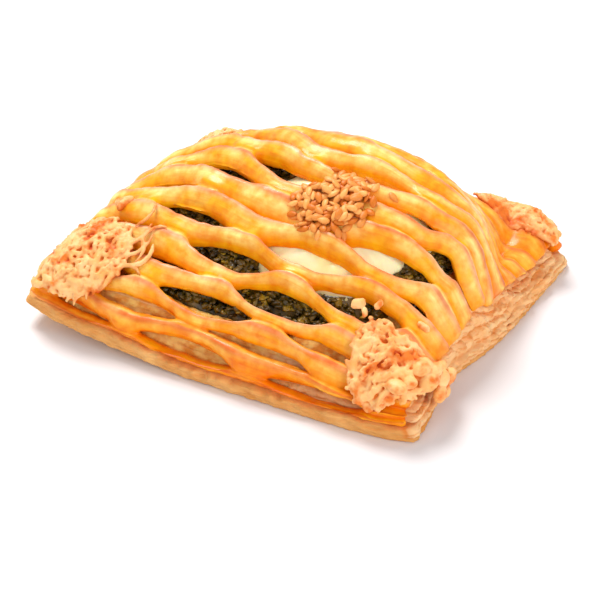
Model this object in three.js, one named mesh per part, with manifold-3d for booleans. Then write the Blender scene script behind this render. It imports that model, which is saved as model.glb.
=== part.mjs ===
// Spinach puff pastry parcel with a slit lattice lid, grated cheese corners and sesame seeds.
//
// X runs along the long side, Y along the short side, +Z is up, in millimetres.
// The origin is on the table under the middle of the parcel.
// Every piece follows one domed sheet. A place on it is (u, t), each from -1 to 1
// across the parcel, and a depth in millimetres under the lid's ridges.

import * as THREE from 'three';
import { mergeVertices } from 'three/addons/utils/BufferGeometryUtils.js';
import Module from 'manifold-3d';

// Driving dimensions of the parcel, in millimetres.
const HALF_LENGTH = 52;
const HALF_WIDTH = 42.5;
const FRONT_BOW = 3;
const BACK_BOW = 1;
const BOW_POWER = 6;
const LID_EDGE_HEIGHT = 4;
const RIM_RISE = 6.3;
const DOME_HEIGHT = 37;
const DOME_TILT = 5;
const RIB_HEIGHT = 5.4;
const RIB_HEIGHT_AT_RIM = 3.2;
const FLOOR_OF_FILLING = 5;
const GAP = 0.3;
const UNDER_LID_GAP = 0.6;
const CORNER_LIFT = 5;
const CORNER_LIFT_LENGTH = 45;
const CORNER_LIFT_WIDTH = 35;

// The dome's middle and how steep its four sides are, as parts of the half sizes.
const DOME_U = 0.05;
const DOME_T = 0.2;
const RIGHT_SIDE = { power: 2.3, ease: 0.6, toe: 0.1 };
const LEFT_SIDE = { power: 2.3, ease: 1, toe: 0.01 };
const FRONT_SIDE = { power: 1.7, ease: 0.9, toe: 0.01 };
const BACK_SIDE = { power: 2.1, ease: 1.3, toe: 0.01 };
const RIGHT_SLANT = 0.3;
const RIM_POWER = 12;

// Places where the dough swells over the filling or sinks, with how far each spreads.
const SWELLS = [
  { u: 0.6, t: -0.13, spread: 0.22, rise: 3.6 },
  { u: -1, t: -0.18, spread: 0.57, rise: 5.6 },
  { u: 0.78, t: 1, spread: 0.27, rise: 6.5 },
  { u: 1, t: 0.2, spread: 0.3, rise: 6.5 },
  { u: -0.2, t: 0.05, spread: 0.5, rise: 1.2 },
  { u: 0.64, t: 0.66, spread: 0.2, rise: -2.2 },
];

// The lid's lattice of staggered slits, which run along X.
const ROWS = 16;
const ROW_START = 0.46;
const ROW_COUNT = 18.7;
const ROW_SKEW = 0.36;
const LEFT_SPREAD = { rate: 0.56, limit: 0.45, fromRow: 3 };
const RIGHT_SPREAD = { rate: 0.27, fromRow: 6 };
const LEAST_ROW_PART = 0.016;
const BACK_ROW = 11;
const LAST_ROW_PART = 0.94;
const MIDDLE_ROW = 9.5;
const SLIT_SHIFT = 0.86;
const COLUMN_PITCH = 4.2;
const COLUMNS = 26;
const COLUMNS_PER_SLIT = 8;
const SLIT_HALF_COLUMNS = 3;
const ANCHOR_COLUMN = 17;
const ANCHOR_X = 16.6;
const LID_LEFT_U = -0.946;
const LID_RIGHT_U = 0.965;
const RIB_SHOULDER_DEPTH = 1.1;
const USUAL_OPENING = 2.1;
const CLOSING_COLUMNS = 1.6;
const LEAST_END_SHARE = 0.12;

// Half openings of the slits that stand out, in millimetres: row, column, opening.
const OPENINGS = [
  [1, 13, 2.0], [1, 21, 1.5], [2, 9, 2.0], [2, 17, 1.1], [3, 13, 2.8], [3, 21, 1.2],
  [4, 9, 1.0], [4, 17, 3.6], [4, 25, 0], [5, 13, 3.3], [5, 21, 3.2], [6, 9, 2.6],
  [6, 17, 3.5], [6, 25, 1.1], [7, 13, 0.4], [7, 21, 3.0], [8, 9, 2.2], [8, 17, 0],
  [8, 25, 2.6], [9, 13, 2.7], [9, 21, 1.5], [10, 17, 2.6], [10, 25, 0],
  [11, 13, 1.2], [11, 21, 1.5], [12, 25, 0], [14, 25, 0],
];

// The base's edge, its baked layers and the basin that holds the filling.
const BASE_AROUND = 64;
const BASE_RIM_HEIGHT = 3.05;
const BASE_LAYERS = 2;
const LAYER_RECESS = 0.6;
const BASE_BOTTOM_SCALE = 0.99;
const BASE_RIM_SCALE = 0.985;
const BASE_EDGE_HEIGHTS = [0.9, 2.4];
const BASE_FOOT = { u: 0.975, t: 0.912, above: 0.15 };
const BASE_TOP = { u: 0.955, t: 0.9 };
const BASE_TOP_SLACK = 1.1;
const BASE_SHOULDER = { u: 0.84, t: 0.88 };
const SHOULDER_PARTS = [0, 0.25, 0.55, 1];
const BASE_SLACK = 5.8;
const BACK_SLACK = 3.5;
const CORNER_ROUNDING = 0.008;
const RIGHT_WAIST = { share: 0.073, t: -0.42, spread: 0.35 };
const BASIN = { u: 0.74, t: 0.84 };
const BASIN_POWER = 3;
const BASIN_GAP = 0.03;

// Spinach with a round of cream on it, a little to the right and front of the middle.
const FILLING_AROUND = 44;
const CREAM_RINGS = 3;
const SPINACH_RINGS = 3;
const CREAM = { u: 0.29, t: -0.2, radiusU: 0.4, radiusT: 0.38 };
const CREAM_WAVES = [{ turns: 3, size: 0.06, phase: 1 }, { turns: 5, size: 0.04, phase: 0 }];
const CREAM_DEPTH = 2.4;
const CREAM_RIM_DROP = 0.8;
const LUMP_HEIGHT = 2;
const LUMP_WIDE = { u: 19, t: 16, phaseU: 3, phaseT: 1, share: 0.3 };
const LUMP_FINE = { u: 41, t: 23, share: 0.2 };

// Grated cheese on the four corners.
const HEAP_AROUND = 16;
const SHRED_POINTS = 3;
const SHRED_LENGTH = 9;
const HEAP_CLEARANCE = 1.3;
const HEAP_EDGE = 0.5;
const HEAP_WAVE = 0.1;
const HEAP_RINGS = [{ part: 0.72, share: 0.75 }, { part: 0.36, share: 1 }];
const HEAP_UNDER_RINGS = [0.35, 0.7, 1];
const LUMP_SINK = 1.15;
const SHRED_BEND = 1.6;
const SHRED_WIDTH = 1.6;
const SHRED_THICKNESS = 1.3;
const HEAPS = [
  {
    name: 'cheese_left', seed: 11, u: -0.72, t: -0.76, radiusU: 0.23, radiusT: 0.235,
    thickness: 2.8, shreds: 12, limitU: 0.94, limitT: 0.985,
  },
  {
    name: 'cheese_front', seed: 29, u: 0.79, t: -0.81, radiusU: 0.18, radiusT: 0.175,
    thickness: 3, shreds: 8, limitU: 0.96, limitT: 0.985,
    lumps: [
      { u: 0.83, t: -0.86, radii: [6, 4.6, 2], turn: 0.3 },
      { u: 0.9, t: -0.74, radii: [2.4, 3.2, 1.8] },
      { at: [51, -34, 11.5], radii: [2.2, 3.2, 2.4] },
      { at: [52, -30, 10], radii: [1.9, 2.8, 2.2] },
      { at: [52.2, -26.5, 8.6], radii: [1.6, 2.6, 2] },
      { at: [53, -32, 7.4], radii: [1.5, 2.2, 2.2] },
      { at: [52.6, -28.8, 6], radii: [1.4, 1.9, 1.8] },
    ],
  },
  {
    name: 'cheese_right', seed: 37, u: 0.76, t: 0.86, radiusU: 0.22, radiusT: 0.12,
    thickness: 2.4, shreds: 8, limitU: 0.96, limitT: 0.985,
  },
  {
    name: 'cheese_back', seed: 41, u: -0.8, t: 0.83, radiusU: 0.15, radiusT: 0.16,
    thickness: 3, shreds: 8, limitU: 0.94, limitT: 0.985,
  },
];

const PEBBLE_SIDES = 6;

// Sesame seeds: a pile near the middle of the lid and a few strays.
const SEED_RADII = [1.65, 1.0, 0.6];
const SEED_LEAN = 0.9;
const SEED_SINK = 0.1;
const STRAY_SINK = 0.2;
const GOLDEN_ANGLE = 2.39996;
const SESAME = {
  seed: 5, count: 60, x: 13.5, y: -9.5, radiusX: 10.5, radiusY: 10, pileHeight: 2.2,
  strays: [[26, -4], [17.5, -15], [23, -1.5]],
};

// Stray cheese on the ribs: place, half sizes and turn.
const STRAYS = [
  { u: 0.58, t: -0.64, radii: [1.7, 1.0, 0.9], turn: 0.5 },
  { u: 0.85, t: -0.56, radii: [1.4, 0.9, 0.8], turn: 0.3 },
  { u: -0.74, t: -0.41, radii: [2.4, 1.4, 1.5], turn: 0.2 },
  { u: -0.44, t: -0.74, radii: [3.8, 0.7, 0.8], turn: 1.05 },
];

const wasm = await Module();
wasm.setup();

// Seeded random numbers, so that every build gives the same seeds and shreds.
function randomFrom(seed) {
  let state = seed;
  return () => {
    state = (state * 1664525 + 1013904223) % 4294967296;
    return state / 4294967296;
  };
}

// How far a side has fallen from the dome: 1 at its middle, 0 at the edge.
function fallOff(distance, reach, side) {
  const part = Math.min(1, Math.abs(distance) / reach);
  const sharp = Math.pow(Math.max(0, 1 - Math.pow(part, side.power)), side.ease);
  return sharp * sharp * (1 + side.toe) / (sharp + side.toe);
}

function rimFactor(u, t) {
  const alongU = Math.sqrt(Math.max(0, 1 - Math.pow(Math.abs(u), RIM_POWER)));
  const alongT = Math.sqrt(Math.max(0, 1 - Math.pow(Math.abs(t), RIM_POWER)));
  return alongU * alongT;
}

function swell(u, t, place) {
  const squared = (u - place.u) ** 2 + (t - place.t) ** 2;
  return place.rise * Math.exp(-squared / place.spread ** 2);
}

function halfWidthAt(u, t) {
  const bow = t < 0 ? FRONT_BOW : BACK_BOW;
  return HALF_WIDTH + bow * (1 - Math.pow(Math.abs(u), BOW_POWER));
}

// Height of the lid's ridges above the table.
function ridgeHeight(u, t) {
  const rightReach = 1 - RIGHT_SLANT * Math.max(0, t + 0.1) - DOME_U;
  const acrossU = u > DOME_U
    ? fallOff(u - DOME_U, rightReach, RIGHT_SIDE)
    : fallOff(u - DOME_U, 1 + DOME_U, LEFT_SIDE);
  const acrossT = t > DOME_T
    ? fallOff(t - DOME_T, 1 - DOME_T, BACK_SIDE)
    : fallOff(t - DOME_T, 1 + DOME_T, FRONT_SIDE);
  const rise = DOME_HEIGHT - LID_EDGE_HEIGHT - RIM_RISE + DOME_TILT * u;
  const dome = rise * acrossU * acrossT;
  const local = SWELLS.reduce((sum, place) => sum + swell(u, t, place), RIM_RISE);
  return LID_EDGE_HEIGHT + local * rimFactor(u, t) + dome;
}

// How near a place is to the rim: 0 inside, 1 at the edge.
function nearRim(u, t) {
  return Math.min(1, Math.sqrt(Math.abs(u) ** 10 + Math.abs(t) ** 10));
}

function ribHeight(u, t) {
  return RIB_HEIGHT + (RIB_HEIGHT_AT_RIM - RIB_HEIGHT) * nearRim(u, t);
}

// The front left corner is baked clear of the table, and everything there lifts with it.
function cornerLift(x, y) {
  const alongX = (x + HALF_LENGTH) / CORNER_LIFT_LENGTH;
  const alongY = (y + HALF_WIDTH) / CORNER_LIFT_WIDTH;
  return CORNER_LIFT * Math.max(0, 1 - Math.hypot(alongX, alongY));
}

function lifted(x, y, z) {
  return new THREE.Vector3(x, y, z + cornerLift(x, y));
}

// A point under the lid's ridges. Depth runs down in the middle and inwards at the rim.
function sheetPoint(u, t, depth) {
  const inwardU = Math.sign(u) * Math.abs(u) ** 5;
  const inwardT = Math.sign(t) * Math.abs(t) ** 5;
  const x = HALF_LENGTH * u - inwardU * depth;
  const y = halfWidthAt(u, t) * t - inwardT * depth;
  const z = ridgeHeight(u, t) - depth * (1 - 0.8 * nearRim(u, t));
  return lifted(x, y, z);
}

// Columns are equally far apart measured over the dome, from left to right.
function columnPlaces() {
  const steps = 400;
  const lengths = [0];
  const places = [LID_LEFT_U];
  let anchorLength = 0;
  for (let i = 1; i <= steps; i++) {
    const u = LID_LEFT_U + (LID_RIGHT_U - LID_LEFT_U) * i / steps;
    const before = places[i - 1];
    const run = HALF_LENGTH * (u - before);
    const rise = ridgeHeight(u, DOME_T) - ridgeHeight(before, DOME_T);
    lengths.push(lengths[i - 1] + Math.hypot(run, rise));
    places.push(u);
    if (HALF_LENGTH * u < ANCHOR_X) anchorLength = lengths[i];
  }
  const columns = [];
  for (let column = 0; column <= COLUMNS; column++) {
    const wanted = anchorLength + (column - ANCHOR_COLUMN) * COLUMN_PITCH;
    columns.push(interpolate(wanted, lengths, places));
  }
  columns[0] = LID_LEFT_U;
  columns[COLUMNS] = LID_RIGHT_U;
  return columns;
}

function interpolate(value, from, to) {
  if (value <= from[0]) return to[0];
  for (let i = 1; i < from.length; i++) {
    if (value <= from[i]) {
      const part = (value - from[i - 1]) / (from[i] - from[i - 1]);
      return to[i - 1] + part * (to[i] - to[i - 1]);
    }
  }
  return to[to.length - 1];
}

// The sheet's length from the front edge to the back at one u, for placing rows.
function frontToBack(u) {
  const steps = 160;
  const places = [];
  const lengths = [0];
  for (let i = 0; i <= steps; i++) {
    places.push(Math.sin(Math.PI * (i / steps - 0.5)));
    if (i === 0) continue;
    const run = halfWidthAt(u, places[i]) * places[i] - halfWidthAt(u, places[i - 1]) * places[i - 1];
    const rise = ridgeHeight(u, places[i]) - ridgeHeight(u, places[i - 1]);
    lengths.push(lengths[i - 1] + Math.hypot(run, rise));
  }
  return { places, lengths, total: lengths[steps] };
}

// Where a row of slits lies, as a part of the sheet's length from front to back. The rows
// fan out towards the left and the right edge, and those on the back share what is left.
function rowPart(row, u) {
  if (row <= 0) return 0;
  if (row > ROWS) return 1;
  const near = Math.min(row, BACK_ROW);
  const leftFan = LEFT_SPREAD.rate * Math.min(LEFT_SPREAD.limit, Math.max(0, -u));
  const rightFan = RIGHT_SPREAD.rate * Math.max(0, u) ** 3;
  const fanned = leftFan * (near - LEFT_SPREAD.fromRow) + rightFan * (near - RIGHT_SPREAD.fromRow);
  const wanted = (near - ROW_START - ROW_SKEW * u + fanned) / ROW_COUNT;
  const part = Math.max(LEAST_ROW_PART * near, wanted);
  return part + (LAST_ROW_PART - part) * (row - near) / (ROWS - BACK_ROW);
}

function openingAt(row, column) {
  if (row < 1 || row > ROWS) return 0;
  const first = row % 2 === 0 ? ANCHOR_COLUMN : ANCHOR_COLUMN - COLUMNS_PER_SLIT / 2;
  const centre = first + COLUMNS_PER_SLIT * Math.round((column - first) / COLUMNS_PER_SLIT);
  const away = Math.abs(column - centre) / SLIT_HALF_COLUMNS;
  if (away >= 1) return 0;
  const seen = OPENINGS.find((entry) => entry[0] === row && entry[1] === centre);
  const side = Math.abs(centre - COLUMNS / 2) / (COLUMNS / 2);
  const end = Math.abs(row - (ROWS + 1) / 2) / (ROWS / 2);
  const usual = USUAL_OPENING * (1 - 0.8 * side ** 3) * (1 - 0.7 * end ** 4);
  const widest = seen ? seen[2] : usual;
  const closing = Math.min(1, Math.max(LEAST_END_SHARE, (COLUMNS - column) / CLOSING_COLUMNS));
  return widest * closing * Math.pow(1 - away * away, 0.75);
}

// A closed mesh built from corners and triangles, checked and joined as a solid.
class SolidMesh {
  constructor() {
    this.points = [];
    this.triangles = [];
  }

  add(point) {
    this.points.push(point.x, point.y, point.z);
    return this.points.length / 3 - 1;
  }

  face(...corners) {
    for (let i = 2; i < corners.length; i++) {
      this.triangles.push(corners[0], corners[i - 1], corners[i]);
    }
  }

  geometry() {
    const geometry = new THREE.BufferGeometry();
    geometry.setAttribute('position', new THREE.Float32BufferAttribute(this.points, 3));
    geometry.setIndex(this.triangles);
    return mergeVertices(geometry, 1e-4);
  }
}

function toManifold(geometry) {
  const bare = geometry.clone();
  bare.deleteAttribute('normal');
  bare.deleteAttribute('uv');
  const merged = mergeVertices(bare, 1e-4);
  const triangles = [];
  const index = merged.index.array;
  for (let i = 0; i < index.length; i += 3) {
    const [a, b, c] = [index[i], index[i + 1], index[i + 2]];
    if (a !== b && b !== c && c !== a) triangles.push(a, b, c);
  }
  return new wasm.Manifold(new wasm.Mesh({
    numProp: 3,
    vertProperties: Float32Array.from(merged.attributes.position.array),
    triVerts: Uint32Array.from(triangles),
  }));
}

function fromManifold(solid) {
  const mesh = solid.getMesh();
  const geometry = new THREE.BufferGeometry();
  geometry.setAttribute('position', new THREE.BufferAttribute(mesh.vertProperties, 3));
  geometry.setIndex(new THREE.BufferAttribute(mesh.triVerts, 1));
  return geometry;
}

// Joins pieces into one body and drops any loose scrap.
function fuse(core, pieces) {
  let whole = toManifold(core);
  for (const piece of pieces) whole = whole.add(toManifold(piece));
  const bodies = whole.decompose();
  bodies.sort((a, b) => b.volume() - a.volume());
  return fromManifold(bodies[0]);
}

// Rings of points, each joined to the next, with a middle point closing both ends.
function ringSolid(rings, firstMiddle, lastMiddle) {
  const mesh = new SolidMesh();
  const first = mesh.add(firstMiddle);
  const last = mesh.add(lastMiddle);
  const rows = rings.map((ring) => ring.map((point) => mesh.add(point)));
  const count = rings[0].length;
  for (let i = 0; i < count; i++) {
    const next = (i + 1) % count;
    mesh.face(first, rows[0][next], rows[0][i]);
    for (let k = 1; k < rows.length; k++) {
      mesh.face(rows[k - 1][i], rows[k - 1][next], rows[k][next], rows[k][i]);
    }
    mesh.face(last, rows[rows.length - 1][i], rows[rows.length - 1][next]);
  }
  return mesh.geometry();
}

// The lattice lid: ribs between rows of slits, open where a slit is stretched.
function latticeLid() {
  const mesh = new SolidMesh();
  const columns = columnPlaces();
  const profiles = columns.map((u) => frontToBack(u));
  const rowAt = (row, column, side) => {
    const profile = profiles[column];
    const u = columns[column];
    const shift = SLIT_SHIFT * (row - MIDDLE_ROW) * (1 - u * u) / HALF_LENGTH;
    const opening = openingAt(row, column) * side;
    const length = rowPart(row, u) * profile.total + opening;
    return { u: u + shift, t: interpolate(length, profile.lengths, profile.places) };
  };
  const corner = (place, depth) => mesh.add(sheetPoint(place.u, place.t, depth));
  for (let rib = 0; rib <= ROWS; rib++) {
    const stations = columns.map((_, column) => {
      const low = rowAt(rib, column, 1);
      const high = rowAt(rib + 1, column, -1);
      const ridge = { u: (low.u + high.u) / 2, t: (low.t + high.t) / 2 };
      return {
        low: corner(low, RIB_SHOULDER_DEPTH),
        ridge: corner(ridge, 0),
        high: corner(high, RIB_SHOULDER_DEPTH),
        underLow: corner(low, ribHeight(low.u, low.t)),
        underHigh: corner(high, ribHeight(high.u, high.t)),
      };
    });
    for (let column = 0; column < COLUMNS; column++) {
      addRibLength(mesh, rib, column, stations[column], stations[column + 1]);
    }
    const left = stations[0];
    const right = stations[COLUMNS];
    mesh.face(left.underHigh, left.underLow, left.low, left.ridge, left.high);
    mesh.face(right.underLow, right.underHigh, right.high, right.ridge, right.low);
  }
  return mesh.geometry();
}

function addRibLength(mesh, rib, column, a, b) {
  const isOpen = (row) => openingAt(row, column) > 0 || openingAt(row, column + 1) > 0;
  mesh.face(a.low, b.low, b.ridge, a.ridge);
  mesh.face(a.ridge, b.ridge, b.high, a.high);
  mesh.face(a.underLow, a.underHigh, b.underHigh, b.underLow);
  if (rib === 0 || isOpen(rib)) mesh.face(a.underLow, b.underLow, b.low, a.low);
  if (rib === ROWS || isOpen(rib + 1)) mesh.face(b.underHigh, a.underHigh, a.high, b.high);
}

// Directions round the parcel, as places on the edge of a square from -1 to 1.
function squareDirections(count) {
  const directions = [];
  for (let i = 0; i < count; i++) {
    const angle = 2 * Math.PI * i / count;
    const reach = Math.max(Math.abs(Math.cos(angle)), Math.abs(Math.sin(angle)));
    directions.push({ u: Math.cos(angle) / reach, t: Math.sin(angle) / reach });
  }
  return directions;
}

// A nested rectangle of places, with its corners a little rounded and its right edge
// drawn in near the front.
function rectangle(directions, scaleU, scaleT) {
  return directions.map(({ u, t }) => {
    const round = 1 - CORNER_ROUNDING * Math.abs(u * t) ** 8;
    const fromWaist = (t - RIGHT_WAIST.t) / RIGHT_WAIST.spread;
    const waist = 1 - RIGHT_WAIST.share * Math.max(0, u) ** 4 * Math.exp(-(fromWaist ** 2));
    return { u: u * scaleU * round * waist, t: t * scaleT * round };
  });
}

function atHeight(place, z) {
  return lifted(HALF_LENGTH * place.u, halfWidthAt(place.u, place.t) * place.t, z);
}

function onFloor(place, extra) {
  const y = halfWidthAt(place.u, place.t) * place.t;
  return new THREE.Vector3(HALF_LENGTH * place.u, y, FLOOR_OF_FILLING + extra);
}

function underLid(place, extra = 0) {
  const depth = ribHeight(place.u, place.t) + UNDER_LID_GAP + extra;
  return sheetPoint(place.u, place.t, depth);
}

// 1 on the wall of the filling's basin, and less inside it.
function basinSize({ u, t }) {
  const across = Math.abs(u) / BASIN.u;
  const along = Math.abs(t) / BASIN.t;
  return Math.pow(across ** BASIN_POWER + along ** BASIN_POWER, 1 / BASIN_POWER);
}

// The base: a flat sheet whose raised sides show baked layers, hollowed for the filling.
function pastryBase() {
  const directions = squareDirections(BASE_AROUND);
  const rings = [
    ringAt(directions, BASE_BOTTOM_SCALE, 0),
    ...BASE_EDGE_HEIGHTS.map((height) => ringAt(directions, 1, height)),
    ringAt(directions, BASE_RIM_SCALE, BASE_RIM_HEIGHT),
  ];
  const foot = rectangle(directions, BASE_FOOT.u, BASE_FOOT.t).map((place) => {
    return atHeight(place, BASE_RIM_HEIGHT + BASE_FOOT.above);
  });
  const top = rectangle(directions, BASE_TOP.u, BASE_TOP.t).map((place) => {
    return underLid(place, rightSlack(place, BASE_TOP_SLACK));
  });
  rings.push(foot);
  for (let layer = 1; layer <= BASE_LAYERS; layer++) {
    const part = layer / (BASE_LAYERS + 1);
    const edge = foot.map((point, i) => point.clone().lerp(top[i], part));
    rings.push(edge);
    rings.push(edge.map((point, i) => recessed(point, directions[i])));
  }
  rings.push(top);
  const shoulder = rectangle(directions, BASE_SHOULDER.u, BASE_SHOULDER.t);
  const inner = directions.map((direction) => {
    const size = basinSize(direction);
    return { u: direction.u / size, t: direction.t / size };
  });
  for (const part of SHOULDER_PARTS) {
    const places = inner.map((place, i) => ({
      u: shoulder[i].u + part * (place.u - shoulder[i].u),
      t: shoulder[i].t + part * (place.t - shoulder[i].t),
    }));
    rings.push(places.map((place) => underLid(place, rightSlack(place, BASE_SLACK))));
  }
  rings.push(inner.map((place) => onFloor(place, 0)));
  return ringSolid(rings, new THREE.Vector3(0, 0, 0), new THREE.Vector3(0, 0, FLOOR_OF_FILLING));
}

// The base keeps more room under the lid's steep right side, most of all at the back.
function rightSlack({ u, t }, slack) {
  return (slack + BACK_SLACK * Math.max(0, t)) * Math.max(0, u) ** 2;
}

function ringAt(directions, scale, height) {
  return rectangle(directions, scale, scale).map((place) => atHeight(place, height));
}

function recessed(point, direction) {
  const moved = point.clone();
  moved.x -= LAYER_RECESS * Math.sign(direction.u) * Math.abs(direction.u) ** 4;
  moved.y -= LAYER_RECESS * Math.sign(direction.t) * Math.abs(direction.t) ** 4;
  moved.z += LAYER_RECESS / 2;
  return moved;
}

// The filling's places run on rays from the cream's middle, so that spinach and cream
// share them and keep an even gap.
function fillingPlaces() {
  const rings = [];
  for (let ring = 1; ring <= CREAM_RINGS; ring++) {
    rings.push(fillingRing((angle) => creamPlace(angle, ring / CREAM_RINGS)));
  }
  for (let ring = 1; ring <= SPINACH_RINGS; ring++) {
    rings.push(fillingRing((angle) => {
      const edge = creamPlace(angle, 1);
      const rim = basinPlace(angle);
      const part = ring / SPINACH_RINGS;
      return { u: edge.u + part * (rim.u - edge.u), t: edge.t + part * (rim.t - edge.t) };
    }));
  }
  return rings;
}

function fillingRing(placeAt) {
  return Array.from({ length: FILLING_AROUND }, (_, i) => placeAt(2 * Math.PI * i / FILLING_AROUND));
}

function creamPlace(angle, part) {
  const wave = CREAM_WAVES.reduce((sum, { turns, size, phase }) => {
    return sum + size * Math.sin(turns * angle + phase);
  }, 1);
  return {
    u: CREAM.u + CREAM.radiusU * part * wave * Math.cos(angle),
    t: CREAM.t + CREAM.radiusT * part * wave * Math.sin(angle),
  };
}

// Where a ray from the cream's middle meets the basin's wall, less the gap.
function basinPlace(angle) {
  let near = 0;
  let far = 2;
  for (let i = 0; i < 40; i++) {
    const middle = (near + far) / 2;
    const u = CREAM.u + middle * Math.cos(angle);
    const t = CREAM.t + middle * Math.sin(angle);
    if (basinSize({ u, t }) < 1 - BASIN_GAP) near = middle;
    else far = middle;
  }
  return { u: CREAM.u + near * Math.cos(angle), t: CREAM.t + near * Math.sin(angle) };
}

function lump(place) {
  const wide = Math.sin(LUMP_WIDE.u * place.u + LUMP_WIDE.phaseU)
    * Math.sin(LUMP_WIDE.t * place.t + LUMP_WIDE.phaseT);
  const fine = Math.sin(LUMP_FINE.u * place.u - LUMP_FINE.t * place.t);
  return LUMP_HEIGHT * (0.5 + LUMP_WIDE.share * wide + LUMP_FINE.share * fine);
}

function spinachFilling() {
  const places = fillingPlaces();
  const tops = places.map((ring, k) => ring.map((place) => {
    const isUnderCream = k < CREAM_RINGS;
    return underLid(place, isUnderCream ? CREAM_DEPTH : lump(place));
  }));
  const bottom = places[places.length - 1].map((place) => onFloor(place, GAP));
  const middle = { u: CREAM.u, t: CREAM.t };
  const rings = [bottom, ...tops.reverse()];
  return ringSolid(rings, onFloor(middle, GAP), underLid(middle, CREAM_DEPTH));
}

function creamFilling() {
  const places = fillingPlaces().slice(0, CREAM_RINGS);
  const under = places.map((ring) => ring.map((place) => underLid(place, CREAM_DEPTH - GAP)));
  const over = places.map((ring, k) => {
    const rim = k === CREAM_RINGS - 1 ? CREAM_RIM_DROP : 0;
    return ring.map((place) => underLid(place, rim));
  });
  const middle = { u: CREAM.u, t: CREAM.t };
  return ringSolid([...under, ...over.reverse()], underLid(middle, CREAM_DEPTH - GAP), underLid(middle));
}

// A shred of grated cheese: a bent three-sided bar along a few points.
function shred(points, width, thickness) {
  const mesh = new SolidMesh();
  const up = new THREE.Vector3(0, 0, 1);
  const stations = points.map((point, i) => {
    const ahead = points[Math.min(i + 1, points.length - 1)];
    const behind = points[Math.max(i - 1, 0)];
    const side = ahead.clone().sub(behind).cross(up).normalize().multiplyScalar(width / 2);
    const tall = up.clone().multiplyScalar(thickness);
    return [
      mesh.add(point.clone().add(side)),
      mesh.add(point.clone().add(tall)),
      mesh.add(point.clone().sub(side)),
    ];
  });
  for (let i = 1; i < stations.length; i++) {
    for (let k = 0; k < 3; k++) {
      const next = (k + 1) % 3;
      mesh.face(stations[i - 1][k], stations[i][k], stations[i][next], stations[i - 1][next]);
    }
  }
  mesh.face(...stations[0]);
  mesh.face(...stations[stations.length - 1].slice().reverse());
  return mesh.geometry();
}

// A lump with a few faces, such as a seed or a crumb of cheese.
function pebble(place, radii, turn, lean = 0) {
  const geometry = new THREE.SphereGeometry(1, PEBBLE_SIDES, PEBBLE_SIDES / 2);
  geometry.scale(radii[0], radii[1], radii[2]);
  geometry.rotateX(lean);
  geometry.rotateZ(turn);
  geometry.translate(place.x, place.y, place.z);
  return geometry;
}

// A corner heap of melted grated cheese: a low core with shreds fused on.
function cheeseHeap(heap) {
  const random = randomFrom(heap.seed);
  const placeAt = (angle, part) => {
    const cos = Math.cos(angle);
    const sin = Math.sin(angle);
    const square = Math.pow(Math.abs(cos) ** 3 + Math.abs(sin) ** 3, -1 / 3);
    const wave = 1 - HEAP_WAVE * (1 + Math.sin(3 * angle + heap.seed));
    return {
      u: heap.u + heap.radiusU * part * square * wave * cos,
      t: heap.t + heap.radiusT * part * square * wave * sin,
    };
  };
  const ring = (part, depth) => Array.from({ length: HEAP_AROUND }, (_, i) => {
    const place = placeAt(2 * Math.PI * i / HEAP_AROUND, part);
    return sheetPoint(place.u, place.t, depth);
  });
  const clear = -HEAP_CLEARANCE;
  const under = HEAP_UNDER_RINGS.map((part) => ring(part, clear));
  const over = HEAP_RINGS.map(({ part, share }) => ring(part, -share * heap.thickness));
  const core = ringSolid(
    [...under, ring(1, clear - HEAP_EDGE), ...over],
    sheetPoint(heap.u, heap.t, clear),
    sheetPoint(heap.u, heap.t, -heap.thickness),
  );
  const pieces = [];
  for (let i = 0; i < heap.shreds; i++) {
    const start = placeAt(2 * Math.PI * random(), 0.95 * Math.sqrt(random()));
    const heading = 2 * Math.PI * random();
    const length = SHRED_LENGTH * (0.6 + 0.6 * random());
    const bend = SHRED_BEND * (random() - 0.5);
    const rise = heap.thickness * (0.35 + 0.5 * random());
    const points = [];
    for (let k = 0; k < SHRED_POINTS; k++) {
      const part = k / (SHRED_POINTS - 1) - 0.5;
      const along = length * part;
      const angle = heading + bend * Math.abs(part);
      const u = clampTo(start.u + along * Math.cos(angle) / HALF_LENGTH, heap.limitU);
      const t = clampTo(start.t + along * Math.sin(angle) / HALF_WIDTH, heap.limitT);
      points.push(sheetPoint(u, t, Math.min(-rise, clear - SHRED_THICKNESS)));
    }
    pieces.push(shred(points, SHRED_WIDTH, SHRED_THICKNESS));
  }
  for (const lumpOf of heap.lumps ?? []) {
    const place = lumpOf.at ? new THREE.Vector3(...lumpOf.at)
      : sheetPoint(lumpOf.u, lumpOf.t, clear - LUMP_SINK * lumpOf.radii[2]);
    pieces.push(pebble(place, lumpOf.radii, lumpOf.turn ?? 0));
  }
  return fuse(core, pieces);
}

function clampTo(value, limit) {
  return Math.max(-limit, Math.min(limit, value));
}

// Sesame seeds in a loose pile on the lid, and a few that strayed.
function sesameSeeds() {
  const random = randomFrom(SESAME.seed);
  const seeds = [];
  for (let i = 0; i < SESAME.count; i++) {
    const part = Math.sqrt((i + 0.5) / SESAME.count);
    const angle = i * GOLDEN_ANGLE + 0.5 * random();
    const x = SESAME.x + SESAME.radiusX * part * Math.cos(angle);
    const y = SESAME.y + SESAME.radiusY * part * Math.sin(angle);
    const stacked = SESAME.pileHeight * (1 - part) * random();
    seeds.push(seedOnLid(x, y, stacked, random));
  }
  for (const [x, y] of SESAME.strays) seeds.push(seedOnLid(x, y, 0, random));
  return seeds;
}

function seedOnLid(x, y, stacked, random) {
  const u = x / HALF_LENGTH;
  const t = y / halfWidthAt(u, y);
  const place = sheetPoint(u, t, SEED_SINK - stacked);
  return pebble(place, SEED_RADII, 2 * Math.PI * random(), SEED_LEAN * (random() - 0.5));
}

// Crumbs and shreds of cheese that lie on the lid away from its corners.
function strayCheese() {
  return STRAYS.map(({ u, t, radii, turn }) => pebble(sheetPoint(u, t, -STRAY_SINK), radii, turn));
}

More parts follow.
